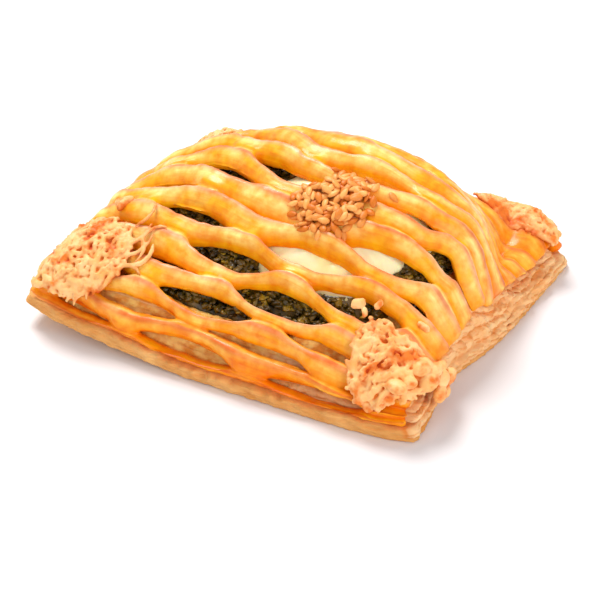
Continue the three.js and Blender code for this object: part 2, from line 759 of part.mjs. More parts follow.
const PALE_GOLD = new THREE.MeshStandardMaterial({ color: 0xe9a54f, roughness: 0.5, metalness: 0 });
const BASE_GOLD = new THREE.MeshStandardMaterial({ color: 0xe6b478, roughness: 0.7, metalness: 0 });
const SPINACH_GREEN = new THREE.MeshStandardMaterial({ color: 0x2e3a16, roughness: 0.35, metalness: 0 });
const CREAM_WHITE = new THREE.MeshStandardMaterial({ color: 0xfff3cf, roughness: 0.4, metalness: 0 });
const CHEESE_CREAM = new THREE.MeshStandardMaterial({ color: 0xf3cd8c, roughness: 0.55, metalness: 0 });

function named(name, geometry, material) {
  const mesh = new THREE.Mesh(geometry, material);
  mesh.name = name;
  return mesh;
}

const parcel = new THREE.Group();
parcel.add(named('pastry_base', pastryBase(), BASE_GOLD));
parcel.add(named('spinach_filling', spinachFilling(), SPINACH_GREEN));
parcel.add(named('cream_filling', creamFilling(), CREAM_WHITE));
const toppings = [...sesameSeeds(), ...strayCheese()];
parcel.add(named('pastry_lattice', fuse(latticeLid(), toppings), PALE_GOLD));
for (const heap of HEAPS) parcel.add(named(heap.name, cheeseHeap(heap), CHEESE_CREAM));

export default parcel;
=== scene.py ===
# %% [markdown]
# # A spinach puff pastry
#
# This lesson dresses a finished solid model of a savoury pastry parcel. The real one is
# a rectangle of puff pastry with chopped spinach and cream on it, under a lid that was
# slit in rows and pulled open into a lattice. Grated cheese melted on its four corners,
# and a pile of sesame seeds sits on top.

# %% Load the solid model
import math
import random
from collections import namedtuple

import bpy
import numpy as np
from mathutils import Matrix, Vector, noise
from mathutils.bvhtree import BVHTree


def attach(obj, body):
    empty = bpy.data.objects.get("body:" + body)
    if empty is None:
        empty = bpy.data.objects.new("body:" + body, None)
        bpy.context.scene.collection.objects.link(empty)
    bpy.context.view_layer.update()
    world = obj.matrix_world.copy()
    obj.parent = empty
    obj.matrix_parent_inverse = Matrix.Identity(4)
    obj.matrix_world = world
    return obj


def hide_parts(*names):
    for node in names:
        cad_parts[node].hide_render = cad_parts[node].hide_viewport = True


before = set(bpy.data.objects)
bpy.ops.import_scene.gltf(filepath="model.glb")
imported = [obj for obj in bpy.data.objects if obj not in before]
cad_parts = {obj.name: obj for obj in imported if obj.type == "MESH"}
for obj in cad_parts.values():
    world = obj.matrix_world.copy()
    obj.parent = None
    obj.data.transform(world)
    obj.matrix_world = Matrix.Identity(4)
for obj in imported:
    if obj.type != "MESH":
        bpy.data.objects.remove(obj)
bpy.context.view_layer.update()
MM = 0.001

# %% [markdown]
# ## Camera, floor and light
#
# The picture was taken from the front right, a third of the way up, through a long lens
# that keeps the parcel's edges nearly parallel. The camera comes first, because every
# later choice is judged through it. The lens follows from the parcel's known length and
# the width it fills in a square picture.

# %% Place the camera
AZIMUTH = math.radians(28.7)
ELEVATION = math.radians(33.3)
AIM = Vector((8.3, -16.3, 9.45)) * MM
DISTANCE = 567 * MM
LENS = 145.4
NEAREST_SEEN = 0.01


def add_camera():
    back = Vector((
        math.sin(AZIMUTH) * math.cos(ELEVATION),
        -math.cos(AZIMUTH) * math.cos(ELEVATION),
        math.sin(ELEVATION),
    ))
    bpy.ops.object.camera_add(location=AIM + back * DISTANCE)
    camera = bpy.context.object
    camera.rotation_euler = (-back).to_track_quat("-Z", "Y").to_euler()
    camera.data.lens = LENS
    camera.data.clip_start = NEAREST_SEEN
    bpy.context.scene.camera = camera
    return camera


print("camera at", [round(c, 3) for c in add_camera().location])

# %% [markdown]
# A white table top and a large soft lamp behind and above give the bright tops and the
# pale shadow in front. Two weaker lamps, in front and on the right, fill the sides. Each
# lamp has a place, a size and a power, and all of them point at the parcel.

# %% Lay the floor and hang the lamps
FLOOR_COLOUR = (0.8, 0.78, 0.8, 1)
FLOOR_ROUGHNESS = 0.6
FLOOR_SIZE = 6
SKY_STRENGTH = 0.54
LAMPS = (
    ("key_lamp", (-0.55, 0.4, 1.0), 0.6, 14.5, (1, 0.985, 0.96)),
    ("front_lamp", (-0.1, -1.1, 0.6), 0.9, 3, (1, 0.97, 0.93)),
    ("right_lamp", (1.1, -0.35, 0.5), 0.9, 7, (1, 0.97, 0.95)),
)


def add_floor():
    bpy.ops.mesh.primitive_plane_add(size=FLOOR_SIZE, location=(0, 0, 0))
    floor = bpy.context.object
    floor.name = "table_top"
    paint = bpy.data.materials.new("white_table")
    paint.use_nodes = True
    shader = paint.node_tree.nodes["Principled BSDF"]
    shader.inputs["Base Color"].default_value = FLOOR_COLOUR
    shader.inputs["Roughness"].default_value = FLOOR_ROUGHNESS
    floor.data.materials.append(paint)
    return floor


def add_lamp(name, place, size, power, tint):
    bpy.ops.object.light_add(type="AREA", location=place)
    lamp = bpy.context.object
    lamp.name = name
    lamp.data.shape = "DISK"
    lamp.data.size = size
    lamp.data.energy = power
    lamp.data.color = tint
    lamp.rotation_euler = (-Vector(place)).to_track_quat("-Z", "Y").to_euler()
    return lamp


def add_sky():
    sky = bpy.data.worlds.new("white_studio")
    sky.use_nodes = True
    glow = sky.node_tree.nodes["Background"]
    glow.inputs["Color"].default_value = (1, 1, 1, 1)
    glow.inputs["Strength"].default_value = SKY_STRENGTH
    bpy.context.scene.world = sky


add_floor()
for lamp in LAMPS:
    add_lamp(*lamp)
add_sky()
bpy.context.scene.view_settings.view_transform = "Standard"
print("lamps:", [o.name for o in bpy.data.objects if o.type == "LIGHT"])

# %% [markdown]
# ## The domed sheet
#
# Every piece of the parcel follows one domed sheet of dough. A place on it is (u, t),
# each from -1 to 1 across the parcel, with a depth under the ridges. The same few sizes
# shaped the solid model, so a piece made from them lands where the solid is. The sizes
# are in millimetres here, and points come out in metres.

# %% Sizes of the sheet
HALF_LENGTH = 52
HALF_WIDTH = 42.5
FRONT_BOW = 3
BACK_BOW = 1
BOW_POWER = 6
LID_EDGE_HEIGHT = 4
RIM_RISE = 6.3
DOME_HEIGHT = 37
DOME_TILT = 5
RIB_HEIGHT = 5.4
RIB_HEIGHT_AT_RIM = 3.2
FLOOR_OF_FILLING = 5
UNDER_LID_GAP = 0.6
CORNER_LIFT = 5
CORNER_LIFT_REACH = (45, 35)
DOME_U = 0.05
DOME_T = 0.2
RIGHT_SIDE = (2.3, 0.6, 0.1)
LEFT_SIDE = (2.3, 1, 0.01)
FRONT_SIDE = (1.7, 0.9, 0.01)
BACK_SIDE = (2.1, 1.3, 0.01)
RIGHT_SLANT = 0.3
RIGHT_SLANT_FROM = -0.1
RIM_POWER = 12
NEAR_RIM_POWER = 10
SIDE_TURN_POWER = 5
RIM_FLATTENING = 0.8
SWELLS = (
    (0.6, -0.13, 0.22, 3.6), (-1, -0.18, 0.57, 5.6), (0.78, 1, 0.27, 6.5),
    (1, 0.2, 0.3, 6.5), (-0.2, 0.05, 0.5, 1.2), (0.64, 0.66, 0.2, -2.2),
)


def fall_off(distance, reach, side):
    """How the dome falls from 1 at its top to 0 at the rim on one side."""
    power, ease, toe = side
    part = np.minimum(1, np.abs(distance) / reach)
    sharp = np.maximum(0, 1 - part**power) ** ease
    return sharp * sharp * (1 + toe) / (sharp + toe)


def half_width_at(u, t):
    return HALF_WIDTH + np.where(t < 0, FRONT_BOW, BACK_BOW) * (1 - np.abs(u) ** BOW_POWER)


def ridge_height(u, t):
    """Height of the ribs' tops over the table, before the baked corner lifts them."""
    right_reach = 1 - RIGHT_SLANT * np.maximum(0, t - RIGHT_SLANT_FROM) - DOME_U
    across_u = np.where(
        u > DOME_U,
        fall_off(u - DOME_U, right_reach, RIGHT_SIDE),
        fall_off(u - DOME_U, 1 + DOME_U, LEFT_SIDE),
    )
    across_t = np.where(
        t > DOME_T,
        fall_off(t - DOME_T, 1 - DOME_T, BACK_SIDE),
        fall_off(t - DOME_T, 1 + DOME_T, FRONT_SIDE),
    )
    rise = DOME_HEIGHT - LID_EDGE_HEIGHT - RIM_RISE + DOME_TILT * u
    rim = np.sqrt(np.maximum(0, 1 - np.abs(u) ** RIM_POWER))
    rim = rim * np.sqrt(np.maximum(0, 1 - np.abs(t) ** RIM_POWER))
    local = RIM_RISE
    for swell_u, swell_t, spread, height in SWELLS:
        squared = (u - swell_u) ** 2 + (t - swell_t) ** 2
        local = local + height * np.exp(-squared / spread**2)
    return LID_EDGE_HEIGHT + local * rim + rise * across_u * across_t


def near_rim(u, t):
    """0 in the middle of the sheet and 1 at its rim."""
    return np.minimum(1, np.sqrt(np.abs(u) ** NEAR_RIM_POWER + np.abs(t) ** NEAR_RIM_POWER))


def rib_height(u, t):
    return RIB_HEIGHT + (RIB_HEIGHT_AT_RIM - RIB_HEIGHT) * near_rim(u, t)


def lift_of(x, y):
    """How far the front left corner stands clear of the table."""
    along_x = (x + HALF_LENGTH) / CORNER_LIFT_REACH[0]
    along_y = (y + HALF_WIDTH) / CORNER_LIFT_REACH[1]
    return CORNER_LIFT * np.maximum(0, 1 - np.hypot(along_x, along_y))


def as_arrays(*values):
    """The values as arrays of one shape."""
    return np.broadcast_arrays(*(np.asarray(value, float) for value in values))


def lifted(x, y, z):
    """Points in metres, lifted with the baked corner."""
    return np.stack([x, y, z + lift_of(x, y)], axis=-1) * MM


def sheet_points(u, t, depth):
    """Points in metres at a depth under the ridges."""
    u, t, depth = as_arrays(u, t, depth)
    x = HALF_LENGTH * u - np.sign(u) * np.abs(u) ** SIDE_TURN_POWER * depth
    y = half_width_at(u, t) * t - np.sign(t) * np.abs(t) ** SIDE_TURN_POWER * depth
    z = ridge_height(u, t) - depth * (1 - RIM_FLATTENING * near_rim(u, t))
    return lifted(x, y, z)


def under_lid(u, t, extra=0):
    """Points in metres just under the lid's ribs."""
    return sheet_points(u, t, rib_height(u, t) + UNDER_LID_GAP + extra)


def level_points(u, t, z):
    """Points in metres at a height over the table, lifted with the baked corner."""
    u, t, z = as_arrays(u, t, z)
    return lifted(HALF_LENGTH * u, half_width_at(u, t) * t, z)


print("top of the dome in mm:", round(float(sheet_points(0.2, 0.1, 0)[2] / MM), 1))

# %% [markdown]
# A few helpers keep the later cells short. Each one is what a hand would do in the
# viewport: pick one object, apply a modifier, weld a seam, smooth the shading.

# %% Helpers for modelling
NOISE_DEPTH = 2


def pick(thing):
    """Selects one object and nothing else."""
    if bpy.context.object and bpy.context.object.mode != "OBJECT":
        bpy.ops.object.mode_set(mode="OBJECT")
    bpy.ops.object.select_all(action="DESELECT")
    thing.select_set(True)
    bpy.context.view_layer.objects.active = thing


def apply_modifier(thing, kind, **settings):
    pick(thing)
    modifier = thing.modifiers.new(kind.title(), kind)
    for key, value in settings.items():
        setattr(modifier, key, value)
    bpy.ops.object.modifier_apply(modifier=modifier.name)


def roughen(thing, *noises):
    """Pushes the surface in and out with soft noises, each a size and a strength in mm."""
    for size, strength in noises:
        texture = bpy.data.textures.new(f"{thing.name}_{size}", "CLOUDS")
        texture.noise_scale = size * MM
        texture.noise_depth = NOISE_DEPTH
        apply_modifier(
            thing, "DISPLACE", texture=texture, texture_coords="LOCAL",
            strength=strength * MM, mid_level=0.5,
        )


def places_of(thing):
    """The vertices' places in metres, one row each."""
    flat = np.empty(3 * len(thing.data.vertices), dtype=np.float32)
    thing.data.vertices.foreach_get("co", flat)
    return flat.reshape(-1, 3)


def move_to(thing, places):
    thing.data.vertices.foreach_set("co", np.ascontiguousarray(places, dtype=np.float32).ravel())
    thing.data.update()


def store(thing, name, values):
    """Keeps one number for each vertex, for the material to read."""
    layer = thing.data.attributes.get(name) or thing.data.attributes.new(name, "FLOAT", "POINT")
    layer.data.foreach_set("value", np.ascontiguousarray(values, dtype=np.float32))


def dress(piece, material, slot, *nodes):
    """Gives a finished piece its finish and its place in the parcel."""
    piece.data.materials.clear()
    piece.data.materials.append(material)
    pick(piece)
    bpy.ops.object.shade_smooth()
    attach(piece, "root")
    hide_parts(*nodes)
    print(piece.name, "has", len(piece.data.polygons), "faces")


print("helpers ready")

# %% [markdown]
# Two forms come up again and again. A flat grid is draped over the dome, as the lid is.
# A shell runs through rings of points, as a loft does: the grid is rolled up, its seam is
# welded, and a fan of triangles closes each end.

# %% Flat grids and closed shells
WELD_DISTANCE = 1e-7


def flat_grid(name, across, along):
    """A flat grid whose vertices stand on whole numbers, to be draped later."""
    bpy.ops.object.select_all(action="DESELECT")
    bpy.ops.mesh.primitive_grid_add(x_subdivisions=across, y_subdivisions=along, size=1)
    grid = bpy.context.object
    grid.name = name
    grid.data.name = name
    places = places_of(grid)
    places[:, 0] = np.round((places[:, 0] + 0.5) * across)
    places[:, 1] = np.round((places[:, 1] + 0.5) * along)
    move_to(grid, places)
    return grid


def shell_of_rings(name, rings, values=None):
    """A closed shell through rings of points: a grid rolled up, welded and capped."""
    rings = np.asarray(rings)
    count = rings.shape[1]
    shell = flat_grid(name, count, len(rings) - 1)
    cells = places_of(shell)
    column = cells[:, 0].astype(int) % count
    row = cells[:, 1].astype(int)
    move_to(shell, rings[row, column])
    if values is not None:
        store(shell, "part", np.asarray(values)[row, column])
    pick(shell)
    bpy.ops.object.mode_set(mode="EDIT")
    bpy.ops.mesh.select_all(action="SELECT")
    bpy.ops.mesh.remove_doubles(threshold=WELD_DISTANCE)
    for _ in range(2):
        close_one_end(shell)
    bpy.ops.mesh.select_all(action="SELECT")
    bpy.ops.mesh.normals_make_consistent(inside=False)
    bpy.ops.object.mode_set(mode="OBJECT")
    return shell


def close_one_end(shell):
    """Caps one open end with a fan of triangles."""
    bpy.ops.mesh.select_mode(type="EDGE")
    bpy.ops.mesh.select_all(action="DESELECT")
    bpy.ops.mesh.select_non_manifold(extend=False, use_boundary=True)
    bpy.ops.object.mode_set(mode="OBJECT")
    rim = [edge for edge in shell.data.edges if edge.select]
    if rim:
        keep_one_loop(shell, rim)
    bpy.ops.object.mode_set(mode="EDIT")
    if rim:
        bpy.ops.mesh.edge_face_add()
        bpy.ops.mesh.select_mode(type="FACE")
        bpy.ops.mesh.poke()


def keep_one_loop(shell, rim):
    """Leaves only the edges of the first open loop selected."""
    neighbours = {}
    for edge in rim:
        for a, b in (edge.vertices, reversed(edge.vertices)):
            neighbours.setdefault(a, []).append(b)
    loop, waiting = set(), [rim[0].vertices[0]]
    while waiting:
        corner = waiting.pop()
        if corner not in loop:
            loop.add(corner)
            waiting.extend(neighbours[corner])
    for vertex in shell.data.vertices:
        vertex.select = vertex.index in loop
    for edge in shell.data.edges:
        edge.select = False
    for edge in rim:
        edge.select = edge.vertices[0] in loop


print("grids and shells ready")

# %% [markdown]
# ## The lattice lid
#
# The baker rolls a slitting tool over the top sheet and pulls it open, so ribs run along
# the parcel and part around leaf-shaped holes. It could be built from crossing strips,
# but the real lid is one sheet. So a flat grid is used: each rib is a few rows of it,
# the faces where a slit opens are deleted, Solidify gives the dough its height, and the
# slab is then draped over the dome. Subdivision rounds the ribs as baking does.

# %% Sizes of the lattice
ROWS = 16
ROW_START = 0.46
ROW_COUNT = 18.7
ROW_SKEW = 0.36
LEFT_SPREAD = (0.56, 0.45, 3)
RIGHT_SPREAD = (0.27, 6)
LEAST_ROW_PART = 0.016
BACK_ROW = 11
LAST_ROW_PART = 0.94
MIDDLE_ROW = 9.5
SLIT_SHIFT = 0.86
COLUMN_PITCH = 4.2
COLUMNS = 26
COLUMNS_PER_SLIT = 8
SLIT_HALF_COLUMNS = 3
ANCHOR_COLUMN = 17
ANCHOR_X = 16.6
LID_LEFT_U = -0.946
LID_RIGHT_U = 0.965
USUAL_OPENING = 2.1
CLOSING_COLUMNS = 1.6
LEAST_END_SHARE = 0.12
SIDE_CLOSING = 0.8
END_CLOSING = 0.7
LEAF_ROUNDNESS = 0.75
FINE = 3
COLUMN_SAMPLES = 401
ROW_STEPS = 160
WIDE_HOLE = 5
OPENINGS = {
    (1, 13): 2.0, (1, 21): 1.5, (2, 9): 2.0, (2, 17): 1.1, (3, 13): 2.8, (3, 21): 1.2,
    (4, 9): 1.0, (4, 17): 3.6, (4, 25): 0.0, (5, 13): 3.3, (5, 21): 3.2, (6, 9): 2.6,
    (6, 17): 3.5, (6, 25): 1.1, (7, 13): 0.4, (7, 21): 3.0, (8, 9): 2.2, (8, 17): 0.0,
    (8, 25): 2.6, (9, 13): 2.7, (9, 21): 1.5, (10, 17): 2.6, (10, 25): 0.0,
    (11, 13): 1.2, (11, 21): 1.5, (12, 25): 0.0, (14, 25): 0.0,
}


def column_u(column):
    """Columns are equally far apart measured over the dome."""
    u = np.linspace(LID_LEFT_U, LID_RIGHT_U, COLUMN_SAMPLES)
    height = ridge_height(u, np.full_like(u, DOME_T))
    steps = np.hypot(np.diff(u) * HALF_LENGTH, np.diff(height))
    length = np.concatenate([[0], np.cumsum(steps)])
    anchor = np.interp(ANCHOR_X / HALF_LENGTH, u, length)
    wanted = anchor + (np.asarray(column) - ANCHOR_COLUMN) * COLUMN_PITCH
    places = np.interp(wanted, length, u)
    places = np.where(np.asarray(column) <= 0, LID_LEFT_U, places)
    return np.where(np.asarray(column) >= COLUMNS, LID_RIGHT_U, places)


def nearest_slit(row, column):
    """The middle column of the slit this place belongs to, and how far along it is."""
    first = ANCHOR_COLUMN if row % 2 == 0 else ANCHOR_COLUMN - COLUMNS_PER_SLIT // 2
    middle = first + COLUMNS_PER_SLIT * round((column - first) / COLUMNS_PER_SLIT)
    return middle, abs(column - middle) / SLIT_HALF_COLUMNS


def opening_at(row, column):
    """Half the width of the opening at this place, in millimetres."""
    if row < 1 or row > ROWS:
        return 0.0
    middle, away = nearest_slit(row, column)
    if away >= 1:
        return 0.0
    side = abs(middle - COLUMNS / 2) / (COLUMNS / 2)
    end = abs(row - (ROWS + 1) / 2) / (ROWS / 2)
    usual = USUAL_OPENING * (1 - SIDE_CLOSING * side**3) * (1 - END_CLOSING * end**4)
    closing = min(1, max(LEAST_END_SHARE, (COLUMNS - column) / CLOSING_COLUMNS))
    return OPENINGS.get((row, middle), usual) * closing * (1 - away * away) ** LEAF_ROUNDNESS


def front_to_back(u):
    """Places from the front edge to the back at one u, and the length of dough to each."""
    t = np.sin(np.pi * (np.arange(ROW_STEPS + 1) / ROW_STEPS - 0.5))
    column = np.full_like(t, u)
    height = ridge_height(column, t)
    steps = np.hypot(np.diff(half_width_at(column, t) * t), np.diff(height))
    return t, np.concatenate([[0], np.cumsum(steps)])


def row_part(row, u):
    """How far along the dough from front to back a row of slits lies, from 0 to 1."""
    if row <= 0:
        return 0.0
    if row > ROWS:
        return 1.0
    near = min(row, BACK_ROW)
    rate, limit, from_row = LEFT_SPREAD
    fanned = rate * min(limit, max(0, -u)) * (near - from_row)
    fanned += RIGHT_SPREAD[0] * max(0, u) ** 3 * (near - RIGHT_SPREAD[1])
    part = max(LEAST_ROW_PART * near, (near - ROW_START - ROW_SKEW * u + fanned) / ROW_COUNT)
    return part + (LAST_ROW_PART - part) * (row - near) / (ROWS - BACK_ROW)


print("holes wider than 5 mm:", sum(2 * half > WIDE_HOLE for half in OPENINGS.values()))

# %% [markdown]
# Five lines of the grid make one rib: two edges, two shoulders and the crest. At each
# vertex the drape works out which rib it is on, how far the slits beside it have opened,
# and so its place along the dough and its depth.

# %% Drape the lid
LINES_PER_RIB = 5
ACROSS_RIB = (0.0, 0.13, 0.5, 0.84, 1.0)
DEPTHS = ((0.15, 2.9), (0.05, 1.3), (-0.1, 0.45), (-0.25, -0.5), (0.1, 2.5))
CREST = (0.0, 0.3, 0.62, 1.0, 0.3)
FOLD_MM = (1.6, 2.6, 4.4, 6.2, 7.4)
WALL_MM = 3
WALL_MIDDLE = 0.62
RIB_THINNING = 0.2
THINNING_POWER = 4
LID_NOISES = ((7, 1.0), (2.6, 0.36), (1.1, 0.13))
SLIT_WAVER = 0.5
SLIT_PATTERN = (0.5, 1.7, 3.0)
CREST_WAVER = 1.25
CREST_PATTERN = (0.3, 2.3, 7.0)
OUTER_SEAM = 0.5
DEEPER_ORANGE_BELOW = 24
GROOVE_HALF_WIDTH = 0.2
HOLE_FROM = 0.34
SEAM_END = 1.18
SEAM_FADE = 0.4
CLOSED_SEAM = 0.3


def lattice_noise(column, row, pattern):
    """A soft noise over the lattice: its pace along a rib, its pace across ribs, a layer."""
    along, across, layer = pattern
    return noise.noise((column * along, row * across, layer))


def slit_edge(row, column, side, u, total):
    """Where one edge of a slit lies on the length of dough from front to back."""
    place = row_part(row, u) * total
    if 1 <= row <= ROWS:
        gap = max(opening_at(row, column), GROOVE_HALF_WIDTH)
        place = place + gap * side + SLIT_WAVER * lattice_noise(column, row, SLIT_PATTERN)
    return min(max(place, 0), total)


def seam_at(row, column):
    """1 along a slit and 0 where two ribs are one piece of dough."""
    if row < 1 or row > ROWS:
        return OUTER_SEAM
    middle, away = nearest_slit(row, column)
    seam = min(max((SEAM_END - away) / SEAM_FADE, 0), 1)
    opened = OPENINGS.get((row, middle), USUAL_OPENING) > 0
    return seam * seam * (3 - 2 * seam) * (1 if opened else CLOSED_SEAM)


def lid_tables():
    """Place along u and t of every grid line at every fine column, and the depth of dough."""
    columns = np.arange(COLUMNS * FINE + 1) / FINE
    us = column_u(columns)
    lines = LINES_PER_RIB * (ROWS + 1)
    table_u = np.zeros((lines, len(columns)))
    table_t = np.zeros_like(table_u)
    depth = np.zeros_like(table_u)
    for c, (column, u) in enumerate(zip(columns, us)):
        t, length = front_to_back(u)
        for rib in range(ROWS + 1):
            low = slit_edge(rib, column, 1, u, length[-1])
            high = slit_edge(rib + 1, column, -1, u, length[-1])
            low_shift = SLIT_SHIFT * (rib - MIDDLE_ROW) * (1 - u * u) / HALF_LENGTH
            step = SLIT_SHIFT * (1 - u * u) / HALF_LENGTH
            crest = CREST_WAVER * lattice_noise(column, rib, CREST_PATTERN)
            for k, across in enumerate(ACROSS_RIB):
                line = rib * LINES_PER_RIB + k
                table_u[line, c] = u + low_shift + across * step
                table_t[line, c] = np.interp(low + across * (high - low), length, t)
                seam = seam_at(rib if k < 2 else rib + 1, column)
                flat, cut = DEPTHS[k]
                depth[line, c] = flat + (cut - flat) * seam + crest
    return table_u, table_t, depth


def stands_open(face):
    """True for a face of the flat grid that lies in an opened slit."""
    line = int(face.center.y)
    left = int(face.center.x)
    row = line // LINES_PER_RIB + 1
    widest = max(opening_at(row, left / FINE), opening_at(row, (left + 1) / FINE))
    return line % LINES_PER_RIB == LINES_PER_RIB - 1 and widest > HOLE_FROM


def cut_slits(slab):
    pick(slab)
    bpy.ops.object.mode_set(mode="EDIT")
    bpy.ops.mesh.select_mode(type="FACE")
    bpy.ops.mesh.select_all(action="DESELECT")
    bpy.ops.object.mode_set(mode="OBJECT")
    for face in slab.data.polygons:
        face.select = stands_open(face)
    bpy.ops.object.mode_set(mode="EDIT")
    bpy.ops.mesh.delete(type="FACE")
    bpy.ops.object.mode_set(mode="OBJECT")


def thicken(slab):
    """Gives the flat sheet a unit of thickness and one loop halfway down its walls."""
    apply_modifier(slab, "SOLIDIFY", thickness=1, offset=-1)
    pick(slab)
    bpy.ops.object.mode_set(mode="EDIT")
    bpy.ops.mesh.select_all(action="SELECT")
    bpy.ops.mesh.bisect(plane_co=(0, 0, -0.5), plane_no=(0, 0, 1))
    bpy.ops.object.mode_set(mode="OBJECT")


def drape(slab):
    """Lays the slab over the dome and keeps what the finish needs to know of each vertex."""
    cells = places_of(slab)
    column = np.round(cells[:, 0]).astype(int)
    line = np.round(cells[:, 1]).astype(int)
    layer = -cells[:, 2]
    table_u, table_t, depth = lid_tables()
    u, t, top = table_u[line, column], table_t[line, column], depth[line, column]
    full = rib_height(u, t) * (1 - RIB_THINNING * (1 - near_rim(u, t) ** THINNING_POWER))
    on_top, underneath = layer < 0.25, layer > 0.75
    down = np.where(on_top, top, np.where(underneath, full, WALL_MIDDLE * full))
    move_to(slab, sheet_points(u, t, down))
    position = line % LINES_PER_RIB
    store(slab, "crest", np.array(CREST)[position] * on_top)
    down_wall = np.where(position == 0, -WALL_MM, WALL_MM) * layer
    store(slab, "fold", np.array(FOLD_MM)[position] + down_wall)


def make_lid():
    slab = flat_grid("pastry_lattice_lid", COLUMNS * FINE, LINES_PER_RIB * (ROWS + 1) - 1)
    cut_slits(slab)
    thicken(slab)
    drape(slab)
    apply_modifier(slab, "SUBSURF", levels=1, render_levels=1)
    roughen(slab, *LID_NOISES)
    height = places_of(slab)[:, 2] / MM
    store(slab, "low", np.clip((DEEPER_ORANGE_BELOW - height) / DEEPER_ORANGE_BELOW, 0, 1))
    return slab


lid = make_lid()
print("lid:", len(lid.data.polygons), "faces")

# %% [markdown]
# ## Finishes
#
# Puff pastry browns unevenly: the sides of the ribs are a deep clear yellow-orange, their
# broad tops are paler, golden with pale patches that are a painted highlight, the crest
# lines are peach, and a few crests are toasted pink-brown. One shader group mixes two
# colours by a patchy noise, and every finish uses it with its own values.

# %% A shader group for patchy colour
PATCH_DETAIL = 4


def add_node(tree, kind, place, **settings):
    node = tree.nodes.new(kind)
    node.location = place
    for key, value in settings.items():
        setattr(node, key, value)
    return node


def patchy_group():
    """A group that mixes two colours by a soft noise of a given size."""
    group = bpy.data.node_groups.new("patchy_colour", "ShaderNodeTree")
    sockets = group.interface
    sockets.new_socket("First", in_out="INPUT", socket_type="NodeSocketColor")
    sockets.new_socket("Second", in_out="INPUT", socket_type="NodeSocketColor")
    for name, value in (("Size", 200.0), ("Bias", 0.5), ("Sharpness", 2.0)):
        socket = sockets.new_socket(name, in_out="INPUT", socket_type="NodeSocketFloat")
        socket.default_value = value
    sockets.new_socket("Color", in_out="OUTPUT", socket_type="NodeSocketColor")
    start = add_node(group, "NodeGroupInput", (-900, 0))
    end = add_node(group, "NodeGroupOutput", (500, 0))
    place = add_node(group, "ShaderNodeTexCoord", (-900, 300))
    patches = add_node(group, "ShaderNodeTexNoise", (-650, 200))
    patches.inputs["Detail"].default_value = PATCH_DETAIL
    group.links.new(place.outputs["Object"], patches.inputs["Vector"])
    group.links.new(start.outputs["Size"], patches.inputs["Scale"])
    centred = add_node(group, "ShaderNodeMath", (-420, 200), operation="SUBTRACT")
    group.links.new(patches.outputs["Fac"], centred.inputs[0])
    group.links.new(start.outputs["Bias"], centred.inputs[1])
    steep = add_node(group, "ShaderNodeMath", (-220, 200), operation="MULTIPLY")
    group.links.new(centred.outputs[0], steep.inputs[0])
    group.links.new(start.outputs["Sharpness"], steep.inputs[1])
    mask = add_node(group, "ShaderNodeMath", (-20, 200), operation="ADD", use_clamp=True)
    group.links.new(steep.outputs[0], mask.inputs[0])
    mask.inputs[1].default_value = 0.5
    blend = add_node(group, "ShaderNodeMix", (200, 0), data_type="RGBA")
    group.links.new(mask.outputs[0], blend.inputs["Factor"])
    group.links.new(start.outputs["First"], blend.inputs["A"])
    group.links.new(start.outputs["Second"], blend.inputs["B"])
    group.links.new(blend.outputs["Result"], end.inputs["Color"])
    return group


PATCHY = patchy_group()
print("group:", PATCHY.name)

# %% [markdown]
# Every finish starts from a Principled shader and adds a few masks to it: noises, numbers
# kept on the mesh, and lines that follow the dough. A small class keeps those steps to
# one line each.

# %% A finish under construction
COAT_ROUGHNESS = 0.2
SOFT_RADIUS = (0.002, 0.001, 0.0004)
FIRST_COLUMN = -1100
COLUMN_STEP = 20
LINE_DETAIL = 3


def linear(red, green, blue):
    """A colour picked on a screen, from 0 to 255, as the linear value a shader needs."""
    parts = [channel / 255 for channel in (red, green, blue)]
    return [p / 12.92 if p <= 0.04045 else ((p + 0.055) / 1.055) ** 2.4 for p in parts] + [1]


WHITE = linear(255, 255, 255)


